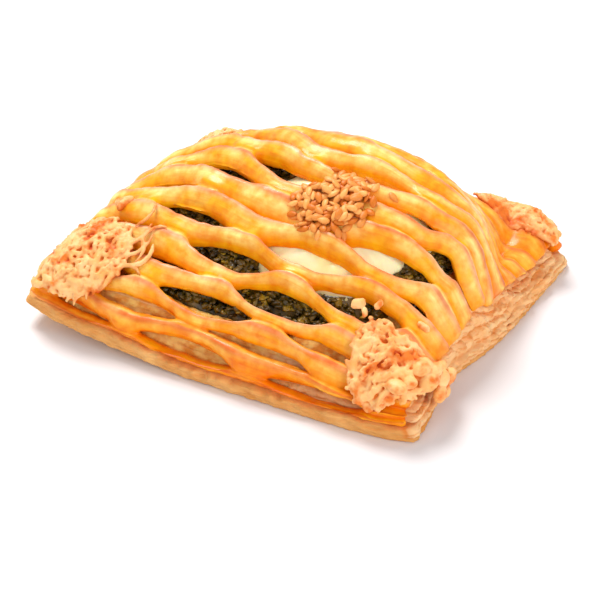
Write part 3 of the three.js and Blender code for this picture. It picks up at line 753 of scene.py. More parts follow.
class Finish:
    """A material under construction: a Principled shader and short ways to feed it."""

    def __init__(self, name, roughness, coat=0.0, soft=0.0, gloss=0.3):
        self.material = bpy.data.materials.new(name)
        self.material.use_nodes = True
        self.tree = self.material.node_tree
        self.shader = self.tree.nodes["Principled BSDF"]
        self.feed(self.shader, {
            "Roughness": roughness,
            "Specular IOR Level": gloss,
            "Coat Weight": coat,
            "Coat Roughness": COAT_ROUGHNESS,
            "Subsurface Weight": soft,
            "Subsurface Radius": SOFT_RADIUS,
        })
        self.column = FIRST_COLUMN
        self.place = self.add("ShaderNodeTexCoord", -300).outputs["Object"]

    def add(self, kind, row, **settings):
        """Adds a node a little to the right of the last one."""
        self.column += COLUMN_STEP
        return add_node(self.tree, kind, (self.column, row), **settings)

    def feed(self, node, inputs):
        """Gives a node's inputs plain values, or links them to other nodes."""
        for name, value in inputs.items():
            if isinstance(value, bpy.types.NodeSocket):
                self.tree.links.new(value, node.inputs[name])
            else:
                node.inputs[name].default_value = value

    def patchy(self, first, second, size, bias=0.5, sharpness=2.0):
        """Two colours mixed in soft patches, smaller where size is larger."""
        node = self.add("ShaderNodeGroup", 300, node_tree=PATCHY)
        self.feed(node, {
            "First": first, "Second": second,
            "Size": size, "Bias": bias, "Sharpness": sharpness,
        })
        return node.outputs["Color"]

    def attribute(self, name, low=0.0, high=1.0):
        """A number kept on the mesh, stretched so that low to high becomes 0 to 1."""
        node = self.add("ShaderNodeAttribute", 0, attribute_name=name)
        return self.steep(node.outputs["Fac"], low, high)

    def mix(self, first, second, amount, way="MIX"):
        node = self.add("ShaderNodeMix", 200, data_type="RGBA", blend_type=way)
        self.feed(node, {"A": first, "B": second, "Factor": amount})
        return node.outputs["Result"]

    def tint(self, colour, wash):
        """Lays a wash over a colour. Where the wash is white, the colour stays."""
        return self.mix(colour, wash, 1.0, "MULTIPLY")

    def noise(self, size, detail=3.0, flatness=1.0):
        """A noise of a given size, squeezed into level streaks where flatness is over 1."""
        squeeze = self.add("ShaderNodeMapping", -400)
        self.feed(squeeze, {"Scale": (1, 1, flatness), "Vector": self.place})
        node = self.add("ShaderNodeTexNoise", -300)
        self.feed(node, {"Scale": size, "Detail": detail, "Vector": squeeze.outputs["Vector"]})
        return node.outputs["Fac"]

    def streaks(self, name, size, lines_for_each_mm):
        """Fine lines that follow a number kept on the mesh, and wander along the dough."""
        across = self.add("ShaderNodeAttribute", -700, attribute_name=name)
        scaled = self.add("ShaderNodeMath", -700, operation="MULTIPLY")
        self.tree.links.new(across.outputs["Fac"], scaled.inputs[0])
        scaled.inputs[1].default_value = lines_for_each_mm / size
        node = self.add("ShaderNodeTexNoise", -700, noise_dimensions="4D")
        self.feed(node, {
            "Scale": size, "Detail": LINE_DETAIL, "Vector": self.place, "W": scaled.outputs[0],
        })
        return node.outputs["Fac"]

    def steep(self, value, low, high):
        """Stretches a mask so that low to high becomes 0 to 1."""
        stretch = self.add("ShaderNodeMapRange", 0)
        self.feed(stretch, {"Value": value, "From Min": low, "From Max": high})
        return stretch.outputs["Result"]

    def bump(self, height, strength, distance):
        """A relief that changes the shading only, at most distance millimetres high."""
        node = self.add("ShaderNodeBump", -500)
        self.feed(node, {"Strength": strength, "Distance": distance * MM, "Height": height})
        self.feed(self.shader, {"Normal": node.outputs["Normal"]})

    def colour(self, value):
        self.feed(self.shader, {"Base Color": value})


print("white in linear numbers:", WHITE)

# %% [markdown]
# The lid's numbers kept on the mesh say where the crest of each rib is, how far a point
# lies along the fold of the dough, and how low it is, because the lowest ribs are tinted a
# deeper orange. A glaze of egg wash makes some patches glossier than others.

# %% Finish the lid
def golden_pastry():
    finish = Finish("golden_pastry", roughness=0.42, soft=0.1, gloss=0.14)
    side = finish.patchy(linear(253, 188, 16), linear(244, 156, 5), 110, sharpness=3)
    # The broad tops of the ribs: golden, with pale patches that are a painted highlight of the
    # lamp above and behind.
    top_with_painted_highlight = finish.patchy(linear(255, 230, 144), linear(250, 180, 42), 120, sharpness=4.5)
    crest = finish.patchy(linear(250, 192, 142), linear(228, 144, 94), 110, 0.45, 4)
    streaks = finish.streaks("fold", 70, 0.9)
    colour = finish.mix(side, top_with_painted_highlight, finish.attribute("crest", 0.1, 0.62))
    colour = finish.mix(colour, crest, finish.attribute("crest", 0.6, 0.9))
    lines = finish.mix(WHITE, linear(252, 228, 196), finish.steep(streaks, 0.5, 0.7))
    colour = finish.tint(colour, lines)
    # The lowest ribs are tinted a deeper orange.
    low = finish.mix(WHITE, linear(253, 204, 44), finish.attribute("low", 0.2, 0.75))
    colour = finish.tint(colour, low)
    mottle = finish.patchy(WHITE, linear(245, 205, 154), 420, 0.55, 3)
    colour = finish.tint(colour, mottle)
    glaze = finish.patchy(linear(0, 0, 0), linear(170, 170, 170), 90, 0.5, 3)
    finish.feed(finish.shader, {"Coat Weight": glaze})
    finish.colour(colour)
    finish.bump(streaks, 0.35, 0.7)
    return finish.material


dress(lid, golden_pastry(), "golden_pastry", "pastry_lattice")

# %% [markdown]
# ## The base sheet and its flaky sides
#
# Under the lid lies a second sheet. Its cut edge rose in the oven into thin leaves, pale
# and ragged, with darker grooves between them, above one smooth browned edge. Cutting
# them one by one would take hours, so the base is one shell of rings round the parcel:
# each leaf is a ring that stands out and a ring that lies back, and a noise that changes
# along the edge makes them wander. First come the outline and the tools to move a ring.

# %% The outline of the base
AROUND_BASE = 520
BASIN = (0.74, 0.84)
BASIN_POWER = 3
BACK_SLACK = 3.5
CORNER_POWER = 60
RIGHT_WAIST = (0.073, -0.42, 0.35)


def basin_size(u, t):
    """1 on the wall of the filling's basin, less inside it."""
    across = np.abs(u) / BASIN[0]
    along = np.abs(t) / BASIN[1]
    return (across**BASIN_POWER + along**BASIN_POWER) ** (1 / BASIN_POWER)


def full_turn(count):
    """Equally spaced angles round a full turn."""
    return 2 * np.pi * np.arange(count) / count


def around():
    """Directions round the parcel, as places on the edge of a square."""
    angle = full_turn(AROUND_BASE)
    reach = np.maximum(np.abs(np.cos(angle)), np.abs(np.sin(angle)))
    return np.cos(angle) / reach, np.sin(angle) / reach


def drawn_in(u, t):
    """Places on the base's edge, soft at the corners and drawn in near the front right."""
    share, middle, spread = RIGHT_WAIST
    waist = 1 - share * np.maximum(0, u) ** 4 * np.exp(-(((t - middle) / spread) ** 2))
    soft = (np.abs(u) ** CORNER_POWER + np.abs(t) ** CORNER_POWER) ** (-1 / CORNER_POWER)
    return u * waist * soft, t * soft


def right_slack(u, t, slack):
    """More room under the lid's steep right side, most of all at the back."""
    return (slack + BACK_SLACK * np.maximum(0, t)) * np.maximum(0, u) ** 2


def wander(waves, seed):
    """A noise that runs once round the parcel and meets itself, finer with more waves."""
    return np.array([
        noise.noise((waves * math.cos(angle), waves * math.sin(angle), seed))
        for angle in full_turn(AROUND_BASE)
    ])


def nudge(ring, out, up):
    """Moves a ring outwards and up by amounts in millimetres."""
    u, t = around()
    moved = ring.copy()
    moved[:, 0] += out * MM * np.sign(u) * np.abs(u) ** 4
    moved[:, 1] += out * MM * np.sign(t) * np.abs(t) ** 4
    moved[:, 2] += up * MM
    return moved


def ramp(value, start, length):
    """0 up to start, 1 from a length further on, and even in between."""
    return np.clip((value - start) / length, 0, 1)


print("the base is drawn as", AROUND_BASE, "points a ring")

# %% [markdown]
# A leaf is six rings: out to its lip and back into the groove over it. Each ring is
# pushed by three noises, a slow one for the long waves, a quick one and a ragged one.
# The number kept for each ring, called part, is what the finish reads: under 0 inside
# the openings, 0 to 1 from a leaf to a groove, and 3 on the lower edge.

# %% Rise the leaves
LEAVES = 4
LEAF_STEPS = (
    (0.05, -0.1, 0.5), (0.22, 0.3, 0.1), (0.42, 0.45, 0),
    (0.6, 0.4, 0), (0.78, 0.1, 0.4), (0.9, -0.8, 1),
)
ENDS = (0.93, 0.06)
FRONT_RIGHT = (0.1, 0.4)
LEAST_SHARE = 0.25
SLOW_WAVES, QUICK_WAVES, RAGGED_WAVES, RISE_WAVES = 10, 38, 90, 7
SLOW_PUSH, QUICK_PUSH, RAGGED_PUSH = 0.9, 0.7, 0.5
SLOW_RISE, QUICK_RISE = 1.5, 0.5
GROOVE_WANDER = 0.8


def flaky_share():
    """1 on the cut ends of the parcel and at its front right, less where the lid hangs over."""
    u, t = around()
    front_right = ramp(u, *FRONT_RIGHT) * (t < 0)
    return np.maximum(LEAST_SHARE, np.maximum(ramp(np.abs(u), *ENDS), front_right))


def leaf_rings(foot, top):
    """Rings for the baked leaves between the foot and the lid, and the part of each."""
    rings, parts = [], []
    share = flaky_share()
    for leaf in range(LEAVES):
        for within, out, shaded_groove in LEAF_STEPS:
            ring = foot + (leaf + within) / LEAVES * (top - foot)
            slow = wander(SLOW_WAVES, leaf + 0.5)
            quick = wander(QUICK_WAVES, leaf * 3 + within)
            ragged = wander(RAGGED_WAVES, leaf * 5 + 2 * within)
            push = share * (out + SLOW_PUSH * slow + QUICK_PUSH * quick + RAGGED_PUSH * ragged)
            rise = share * (SLOW_RISE * wander(RISE_WAVES, leaf + 20) + QUICK_RISE * quick)
            rings.append(nudge(ring, push, rise))
            part = share * np.clip(shaded_groove + GROOVE_WANDER * quick, 0, 1)
            parts.append(part - (1 - share) / (1 - LEAST_SHARE))
    return rings, parts


print("leaves stand free on", round(100 * float((flaky_share() == 1).mean())), "% of the edge")

# %% [markdown]
# The rings run from the middle of the underside out to the lower edge, up the leaves,
# in under the lid and down into the basin for the filling. On the right the lower edge
# was cut, so two grooves show its layers there.

# %% Shape the base
EDGE_RINGS = (
    (0.985, 0, 0), (0.996, 0.3, 0), (1, 0.8, 0), (0.997, 1.1, 1), (1, 1.4, 0), (0.999, 1.9, 0),
    (0.997, 2.1, 1), (0.999, 2.4, 0), (0.997, 2.8, 0), (0.988, 3.1, 0),
)
EDGE_WAVES, DENT_WAVES = 22, 60
EDGE_GROOVE = 0.75
EDGE_WAVER = 0.55
EDGE_LIFT = 0.4
EDGE_RAGGED = 0.35
CUT_SIDE = (0.93, 0.05)
CUT_ABOVE = 0.9
CUT_PALER = 2.8
CUT_GROOVE = 0.8
EDGE_PART, FOOT_PART, TOP_PART, INSIDE_PART = 3.0, 0.5, 0.0, -2.0
NEAR_MIDDLE = 0.05
FOOT = (0.975, 0.912, 3.2)
TOP = (0.955, 0.9)
SHOULDER_PLACE = (0.84, 0.88)
TOP_SLACK = 1.1
SHOULDER_SLACK = 5.8
SHOULDER_STEPS = (0, 0.25, 0.55, 1)
BASE_NOISES = ((2.4, 0.6), (0.9, 0.3))


def edge_rings(waist, soft_t):
    """Rings up the lower edge, with the grooves of its cut side, and the part of each."""
    rings, parts = [], []
    cut_side = ramp(around()[0], *CUT_SIDE)
    for share, height, shaded_groove in EDGE_RINGS:
        ring = level_points(waist * share, soft_t * share, height)
        wave = height * wander(EDGE_WAVES, 30 + height)
        dent = shaded_groove * cut_side * EDGE_GROOVE * (1 + wander(DENT_WAVES, 50 + height))
        ragged = EDGE_RAGGED * cut_side * wander(RAGGED_WAVES, 70 + height)
        out = EDGE_WAVER * wave - dent + ragged
        rings.append(nudge(ring, out, EDGE_LIFT * EDGE_WAVER * wave))
        # The grooves of the cut side stay less pale, as painted shade in them.
        paler = cut_side * (height > CUT_ABOVE) * (CUT_PALER - CUT_GROOVE * shaded_groove)
        parts.append(EDGE_PART - paler)
    return rings, parts


def shoulder_rings(waist, soft_t, inner_u, inner_t):
    """Rings in under the lid, from the top of the leaves to the basin's wall."""
    rings = []
    for blend in SHOULDER_STEPS:
        u = SHOULDER_PLACE[0] * waist * (1 - blend) + blend * inner_u
        t = SHOULDER_PLACE[1] * soft_t * (1 - blend) + blend * inner_t
        rings.append(under_lid(u, t, right_slack(u, t, SHOULDER_SLACK)))
    return rings


def make_base():
    u, t = around()
    waist, soft_t = drawn_in(u, t)
    inner_u, inner_t = u / basin_size(u, t), t / basin_size(u, t)
    middle = level_points(u * NEAR_MIDDLE, t * NEAR_MIDDLE, 0)
    edge, edge_parts = edge_rings(waist, soft_t)
    foot = level_points(waist * FOOT[0], soft_t * FOOT[1], FOOT[2])
    top_u, top_t = waist * TOP[0], soft_t * TOP[1]
    top = under_lid(top_u, top_t, right_slack(top_u, top_t, TOP_SLACK))
    leaves, leaf_parts = leaf_rings(foot, top)
    shoulder = shoulder_rings(waist, soft_t, inner_u, inner_t)
    floor = [
        level_points(inner_u * share, inner_t * share, FLOOR_OF_FILLING)
        for share in (1, NEAR_MIDDLE)
    ]
    rings = [middle, *edge, foot, *leaves, top, *shoulder, *floor]
    parts = [
        EDGE_PART, *edge_parts, FOOT_PART, *leaf_parts, TOP_PART,
        *[INSIDE_PART] * len(shoulder), *[TOP_PART] * len(floor),
    ]
    parts = [np.broadcast_to(part, AROUND_BASE) for part in parts]
    base = shell_of_rings("flaky_base", rings, parts)
    roughen(base, *BASE_NOISES)
    places = places_of(base)
    places[:, 2] = np.maximum(places[:, 2], 0)
    move_to(base, places)
    return base


base = make_base()

# %% [markdown]
# The leaves are pale and slightly pink, and orange in the grooves between them, which is
# painted shade in the recesses under each leaf. The lower edge and the underside touched
# the tray, so they are a deeper gold, and the lower edge is darker still as painted shade,
# but the cut side of the edge is as pale as the leaves. The dough that shows inside the
# lowest openings is golden and blistered.

# %% Finish the base
def flaky_pastry():
    finish = Finish("flaky_pastry", roughness=0.6, soft=0.15, gloss=0.15)
    leaf = finish.patchy(linear(252, 208, 152), linear(246, 184, 120), 160, sharpness=3)
    # The grooves between the leaves: orange, painted shade in the recesses.
    shaded_groove = finish.patchy(linear(236, 154, 78), linear(220, 124, 46), 180)
    # The lower edge: a deeper gold where it touched the tray, and darker still as painted shade
    # from the light above.
    edge = finish.patchy(linear(238, 182, 112), linear(222, 150, 74), 110, sharpness=3)
    streaks = finish.noise(330, 5, 5)
    colour = finish.mix(leaf, shaded_groove, finish.attribute("part", 0.15, 1.0))
    # Fine streaks of the same painted shade run along the layers.
    colour = finish.mix(colour, shaded_groove, finish.steep(streaks, 0.54, 0.72))
    inside = finish.patchy(linear(255, 208, 116), linear(234, 150, 56), 380, sharpness=5)
    colour = finish.mix(inside, colour, finish.attribute("part", -1.0, -0.1))
    colour = finish.mix(colour, edge, finish.attribute("part", 1.5, 2.5))
    finish.colour(colour)
    finish.bump(streaks, 0.7, 0.9)
    return finish.material


dress(base, flaky_pastry(), "pale_pastry", "pastry_base")

# %% [markdown]
# ## Spinach and cream
#
# The filling is chopped cooked spinach with a round of cream in the middle. The spinach
# is a bumpy core on rays from the cream's middle, as in the solid, with two thousand
# crumpled leaf bits lying on it. One bit is modelled and copied, because what
# shows between the ribs is a jumble of small wet scraps.

# %% Places of the filling
CREAM_MIDDLE = (0.29, -0.2)
CREAM_RADII = (0.4, 0.38)
BASIN_GAP = 0.03
HALVINGS = 30
LUMP_HEIGHT = 2


def cream_place(angle, part):
    """A place on the cream: part is 0 in its middle and 1 on its wavy edge."""
    wave = 1 + 0.06 * np.sin(3 * angle + 1) + 0.04 * np.sin(5 * angle)
    u = CREAM_MIDDLE[0] + CREAM_RADII[0] * part * wave * np.cos(angle)
    return u, CREAM_MIDDLE[1] + CREAM_RADII[1] * part * wave * np.sin(angle)


def basin_place(angle):
    """Where a ray from the cream's middle meets the basin's wall."""
    near, far = np.zeros_like(angle), np.full_like(angle, 2.0)
    for _ in range(HALVINGS):
        middle = (near + far) / 2
        u = CREAM_MIDDLE[0] + middle * np.cos(angle)
        t = CREAM_MIDDLE[1] + middle * np.sin(angle)
        inside = basin_size(u, t) < 1 - BASIN_GAP
        near, far = np.where(inside, middle, near), np.where(inside, far, middle)
    return CREAM_MIDDLE[0] + near * np.cos(angle), CREAM_MIDDLE[1] + near * np.sin(angle)


def spinach_place(angle, part):
    """A place on the spinach: part is 0 at the cream's edge and 1 at the basin's wall."""
    edge_u, edge_t = cream_place(angle, 1)
    rim_u, rim_t = basin_place(angle)
    return edge_u + part * (rim_u - edge_u), edge_t + part * (rim_t - edge_t)


def lump(u, t):
    """How far the spinach core sinks at a place, in millimetres."""
    wide = np.sin(19 * u + 3) * np.sin(16 * t + 1)
    return LUMP_HEIGHT * (0.5 + 0.3 * wide + 0.2 * np.sin(41 * u - 23 * t))


reach = float(basin_place(np.zeros(1))[0][0]) * HALF_LENGTH
print("the filling reaches x =", round(reach, 1), "mm")

# %% [markdown]
# Both are shells of rings. The spinach runs on under the cream, so no gap can open
# between them, and the cream swells up out of it like a drop.

# %% Shape the spinach and the cream
AROUND_FILLING = 220
CORE_SUNK = 0.35
CORE_OVER_FLOOR = 0.3
CORE_NOISES = ((3.5, 0.8), (1.3, 0.7))
CREAM_DEPTH = 2.4
CREAM_UNDERSIDE = 0.3
CREAM_EDGE_DEPTH = 0.9
CREAM_SWELL = 2.8
SWELL_POWER = 6
CREAM_NOISES = ((6, 1.8), (2, 0.35))


def make_spinach_core():
    angle = full_turn(AROUND_FILLING)
    rim_u, rim_t = basin_place(angle)
    rings = [
        level_points(rim_u * part, rim_t * part, FLOOR_OF_FILLING + CORE_OVER_FLOOR)
        for part in (0.1, 1)
    ]
    for part in np.linspace(1, 0, 16):
        u, t = spinach_place(angle, part)
        rings.append(under_lid(u, t, CORE_SUNK + lump(u, t) * min(1, 0.3 + 4 * part)))
    for part in np.linspace(0.9, 0.05, 8):
        rings.append(under_lid(*cream_place(angle, part), CREAM_DEPTH))
    core = shell_of_rings("spinach", rings)
    roughen(core, *CORE_NOISES)
    return core


def make_cream():
    angle = full_turn(AROUND_FILLING)
    rings = [
        under_lid(*cream_place(angle, part), CREAM_DEPTH - CREAM_UNDERSIDE)
        for part in (0.05, 0.5, 1)
    ]
    for part in np.linspace(1.02, 0.04, 22):
        swell = CREAM_SWELL * (1 - part**SWELL_POWER)
        rings.append(under_lid(*cream_place(angle, part), CREAM_EDGE_DEPTH - swell))
    cream = shell_of_rings("cream", rings)
    roughen(cream, *CREAM_NOISES)
    return cream


spinach_core = make_spinach_core()
cream = make_cream()
print("spinach and cream shaped")

# %% [markdown]
# ## Small things in numbers
#
# A small thing that repeats is modelled once with ordinary tools. Its corners are then
# read out, and every copy is those corners turned and moved, all joined into one mesh.

# %% Copy a small thing many times
def corners_of(thing):
    """Takes a modelled thing apart into its corners and faces, and removes it."""
    corners = places_of(thing).astype(float)
    faces = [list(face.vertices) for face in thing.data.polygons]
    bpy.data.objects.remove(thing)
    return corners, faces


def joined(name, parts, values=None):
    """One mesh from many sets of corners and faces, each with a number of its own."""
    corners, faces, numbers, start = [], [], [], 0
    for i, (own_corners, own_faces) in enumerate(parts):
        corners.append(own_corners)
        faces += [[start + c for c in face] for face in own_faces]
        numbers += [0 if values is None else values[i]] * len(own_corners)
        start += len(own_corners)
    mesh = bpy.data.meshes.new(name)
    mesh.from_pydata(np.concatenate(corners).tolist(), [], faces)
    thing = bpy.data.objects.new(name, mesh)
    bpy.context.scene.collection.objects.link(thing)
    if values is not None:
        store(thing, "own", numbers)
    return thing


def turned(normal, spin, lean=0.0, heading=0.0):
    """A turn that stands a copy on a slope, spun about the normal and leaned over."""
    stand = Vector((0, 0, 1)).rotation_difference(Vector(normal)).to_matrix()
    tip = Matrix.Rotation(heading, 3, "Z") @ Matrix.Rotation(lean, 3, "X")
    return np.array(stand @ tip @ Matrix.Rotation(spin, 3, "Z"))


print("small things can be copied")

# %% [markdown]
# The leaf bits lie on the core as many on each square millimetre, and a few more lie in
# a small spill at the right. Six scraps are enough, because each copy is turned, leaned
# and sized by chance. The noise that pulls a scrap out of shape is given a seed first,
# because Blender otherwise takes one from the clock, and no two runs would be alike.

# %% Scatter the leaf bits
SCRAPS = 6
SCRAP_NOISE_SEED = 3
SCATTER_SEED = 3
SCRAP_SWELL = 1.3
SCRAP_PULL = 0.35
SCRAP_FLATNESS = 0.5


def leaf_bit(seed):
    """One crumpled scrap of leaf about 1 across: a ball squashed flat and crumpled."""
    bpy.ops.object.select_all(action="DESELECT")
    bpy.ops.mesh.primitive_ico_sphere_add(subdivisions=2, radius=0.5)
    scrap = bpy.context.object
    places = places_of(scrap)
    for place in places:
        x, y, z = place
        away = noise.noise_vector((x * 2 + seed * 5, y * 2, z * 2 + seed))
        place *= 1 + SCRAP_SWELL * noise.noise((x * 4, y * 4, z * 4 + seed * 3))
        place += SCRAP_PULL * np.array(away)
    places[:, 2] *= SCRAP_FLATNESS
    move_to(scrap, places)
    return corners_of(scrap)


LEAF_BITS = 2150
SPILLED_BITS = 200
SPILL = (0.78, -0.24, 0.1, 0.2)
SPILL_DEPTH = 5
SPILL_POWER = 0.7
TRIES_FOR_EACH = 8
CREAM_MARGIN = 0.04
BIT_SIZE = (1.1, 2.6)
BIT_LEAN = (-0.9, 0.9)
BIT_RISE = (0.1, 0.9)
ANY_HEADING = (0, 6.28)


def spread_evenly(draw, count):
    """Random places on the spinach, as many on each square millimetre of it."""
    angle, part, chance = np.array([
        (2 * np.pi * draw.random(), draw.uniform(CREAM_MARGIN, 1), draw.random())
        for _ in range(TRIES_FOR_EACH * count)
    ]).T
    u, t = spinach_place(angle, part)
    edge_u, edge_t = cream_place(angle, 1)
    rim_u, rim_t = basin_place(angle)
    away = np.hypot(u - CREAM_MIDDLE[0], t - CREAM_MIDDLE[1])
    share = away * np.hypot(rim_u - edge_u, rim_t - edge_t)
    kept = chance * share.max() < share
    return u[kept][:count], t[kept][:count]


def spilled(draw, count):
    """Random places in the small spill at the right."""
    angle = np.array([2 * np.pi * draw.random() for _ in range(count)])
    part = np.array([draw.random() ** SPILL_POWER for _ in range(count)])
    middle_u, middle_t, radius_u, radius_t = SPILL
    u = middle_u + radius_u * part * np.cos(angle)
    return u, middle_t + radius_t * part * np.sin(angle)


def scatter_leaves():
    draw = random.Random(SCATTER_SEED)
    noise.seed_set(SCRAP_NOISE_SEED)
    scraps = [leaf_bit(seed) for seed in range(SCRAPS)]
    core_u, core_t = spread_evenly(draw, LEAF_BITS)
    spill_u, spill_t = spilled(draw, SPILLED_BITS)
    u, t = np.concatenate([core_u, spill_u]), np.concatenate([core_t, spill_t])
    sunk = np.concatenate([lump(core_u, core_t), SPILL_DEPTH * spill_u**2])
    least, more = BIT_RISE
    rise = np.array([least + more * draw.random() for _ in u])
    parts, values = [], []
    for place in under_lid(u, t, sunk - rise):
        corners, faces = draw.choice(scraps)
        size = MM * draw.uniform(*BIT_SIZE)
        spans = (ANY_HEADING, BIT_LEAN, ANY_HEADING)
        turn = turned((0, 0, 1), *(draw.uniform(*span) for span in spans))
        parts.append((corners * size @ turn.T + place, faces))
        values.append(draw.random())
    return joined("spinach_leaves", parts, values)


leaves = scatter_leaves()
print("leaf bits:", LEAF_BITS + SPILLED_BITS)

# %% [markdown]
# Cooked spinach is nearly black, and a random share of the scraps is olive, partly their own
# colour and partly painted glints of the wet leaves. It is wet, so it takes a clear coat.
# Cream set in the oven is smooth, warm white and glossy.

# %% Finish the filling
def wet_spinach():
    finish = Finish("wet_spinach", roughness=0.34, coat=0.4)
    dark = finish.patchy(linear(52, 40, 8), linear(118, 90, 18), 400, sharpness=5)
    # A random share of the scraps is olive: partly the leaves' own colour, partly painted
    # glints.
    colour = finish.mix(dark, linear(176, 140, 34), finish.attribute("own", 0.7, 1.0))
    finish.colour(colour)
    finish.bump(finish.noise(1500, 4), 0.5, 0.4)
    return finish.material


def set_cream():
    finish = Finish("set_cream", roughness=0.3, coat=0.3, soft=0.3)
    colour = finish.patchy(linear(255, 253, 218), linear(255, 245, 172), 90, sharpness=2)
    finish.colour(colour)
    finish.bump(finish.noise(500, 3), 0.2, 0.4)
    return finish.material


spinach_paint = wet_spinach()
dress(spinach_core, spinach_paint, "spinach", "spinach_filling")
dress(leaves, spinach_paint, "spinach", "spinach_filling")
dress(cream, set_cream(), "cream", "cream_filling")

# %% [markdown]
# ## Grated cheese on the corners
#
# Grated cheese was heaped on each corner and half melted: crumbs and short shreds can
# still be seen, but they run into each other. So both are laid over a low core, with a
# few larger melted lumps, everything is joined, and a voxel remesh melts it into one
# skin. How high a point stands over the dough is kept, because the low gaps are darker,
# partly fried brown and partly painted shade.

# %% Places of the heaps
Heap = namedtuple("Heap", "name seed u t radius_u radius_t thickness shreds limit_u")
HEAPS = (
    Heap("cheese_left", 11, -0.735, -0.76, 0.21, 0.235, 2.8, 210, 0.94),
    Heap("cheese_front", 29, 0.79, -0.81, 0.18, 0.175, 3.0, 130, 0.96),
    Heap("cheese_right", 37, 0.76, 0.86, 0.22, 0.12, 2.4, 120, 0.96),
    Heap("cheese_back", 41, -0.78, 0.81, 0.16, 0.17, 4.0, 110, 0.94),
)
AROUND_HEAP = 64
HEAP_SUNK = 0.4
UNDERSIDE_PARTS = (0.05, 0.5, 0.92)
TOP_SHARES = ((0.95, 0.1), (0.8, 0.4), (0.5, 0.55), (0.05, 0.6))


def heap_place(heap, angle, part):
    """A place on a heap: part is 0 in its middle and 1 on its square, wavy outline."""
    cos, sin = np.cos(angle), np.sin(angle)
    square = (np.abs(cos) ** 3 + np.abs(sin) ** 3) ** (-1 / 3)
    wave = 1 - 0.1 * (1 + np.sin(3 * angle + heap.seed))
    u = heap.u + heap.radius_u * part * square * wave * cos
    return u, heap.t + heap.radius_t * part * square * wave * sin


def heap_core(heap):
    """A low closed mound, set a little into the ribs, for the shreds to lie on."""
    angle = full_turn(AROUND_HEAP)
    layers = [(part, HEAP_SUNK) for part in UNDERSIDE_PARTS]
    layers += [(part, -share * heap.thickness) for part, share in TOP_SHARES]
    return shell_of_rings(heap.name, [
        sheet_points(*heap_place(heap, angle, part), depth) for part, depth in layers
    ])


print("heaps:", {heap.name: heap.shreds for heap in HEAPS})

# %% [markdown]
# A shred is a thin bar with soft ends, cut into short lengths so that it can bend along
# the dough. A crumb is a small ball. Both are modelled once.

# %% Model a shred and a crumb
LIMIT_T = 0.985
SHRED_STATIONS = 6
SHRED_SIDES = 8
END_SOFTNESS = 0.45
RAGGED_TO = 0.98
DROOP = 1.2


def bar():
    """A straight shred, one long and one thick, with soft ends, to be bent later."""
    bpy.ops.object.select_all(action="DESELECT")
    bpy.ops.mesh.primitive_cylinder_add(
        vertices=SHRED_SIDES, radius=0.5, depth=1, rotation=(0, math.pi / 2, 0)
    )
    shred = bpy.context.object
    bpy.ops.object.transform_apply(location=True, rotation=True, scale=True)
    bpy.ops.object.mode_set(mode="EDIT")
    for cut in range(1, SHRED_STATIONS):
        bpy.ops.mesh.select_all(action="SELECT")
        bpy.ops.mesh.bisect(plane_co=(cut / SHRED_STATIONS - 0.5, 0, 0), plane_no=(1, 0, 0))
    bpy.ops.object.mode_set(mode="OBJECT")
    places = places_of(shred)
    ends = 1 - END_SOFTNESS * np.abs(2 * places[:, 0]) ** 6
    places[:, 1] *= ends
    places[:, 2] *= ends
    move_to(shred, places)
    return corners_of(shred)


def bent(corners, middle, heading, length, bend, width, thick, rise, limit_u, heap=None):
    """Bends a straight bar along the dough, inside its heap if it has one."""
    along = corners[:, 0]
    angle = heading + bend * along
    u = middle[0] + along * length * np.cos(angle) / HALF_LENGTH
    t = middle[1] + along * length * np.sin(angle) / HALF_WIDTH
    if heap:
        out_u, out_t = (u - heap.u) / heap.radius_u, (t - heap.t) / heap.radius_t
        within = np.maximum(1, np.hypot(out_u, out_t) / RAGGED_TO)
        u = heap.u + heap.radius_u * out_u / within
        t = heap.t + heap.radius_t * out_t / within
    side = corners[:, 1] * width
    u = np.clip(u, -limit_u, limit_u) - side * np.sin(angle) / HALF_LENGTH
    t = np.clip(t, -LIMIT_T, LIMIT_T) + side * np.cos(angle) / HALF_WIDTH
    return sheet_points(u, t, -(rise * (1 - DROOP * along**2) + corners[:, 2] * thick))


def ball():
    """A small ball of cheese one across, to be stretched and dented later."""
    bpy.ops.object.select_all(action="DESELECT")
    bpy.ops.mesh.primitive_ico_sphere_add(subdivisions=2, radius=0.5)
    return corners_of(bpy.context.object)


straight_shred, crumb = bar(), ball()
print("corners of a shred and a crumb:", len(straight_shred[0]), len(crumb[0]))

# %% [markdown]
# Shreds lie mostly along a heap's rim, as they do when they are dropped from above, and
# crumbs fill up between them. The left heap trails a few shreds past its edge, and the
# front one has larger melted lumps that hang over the cut side.

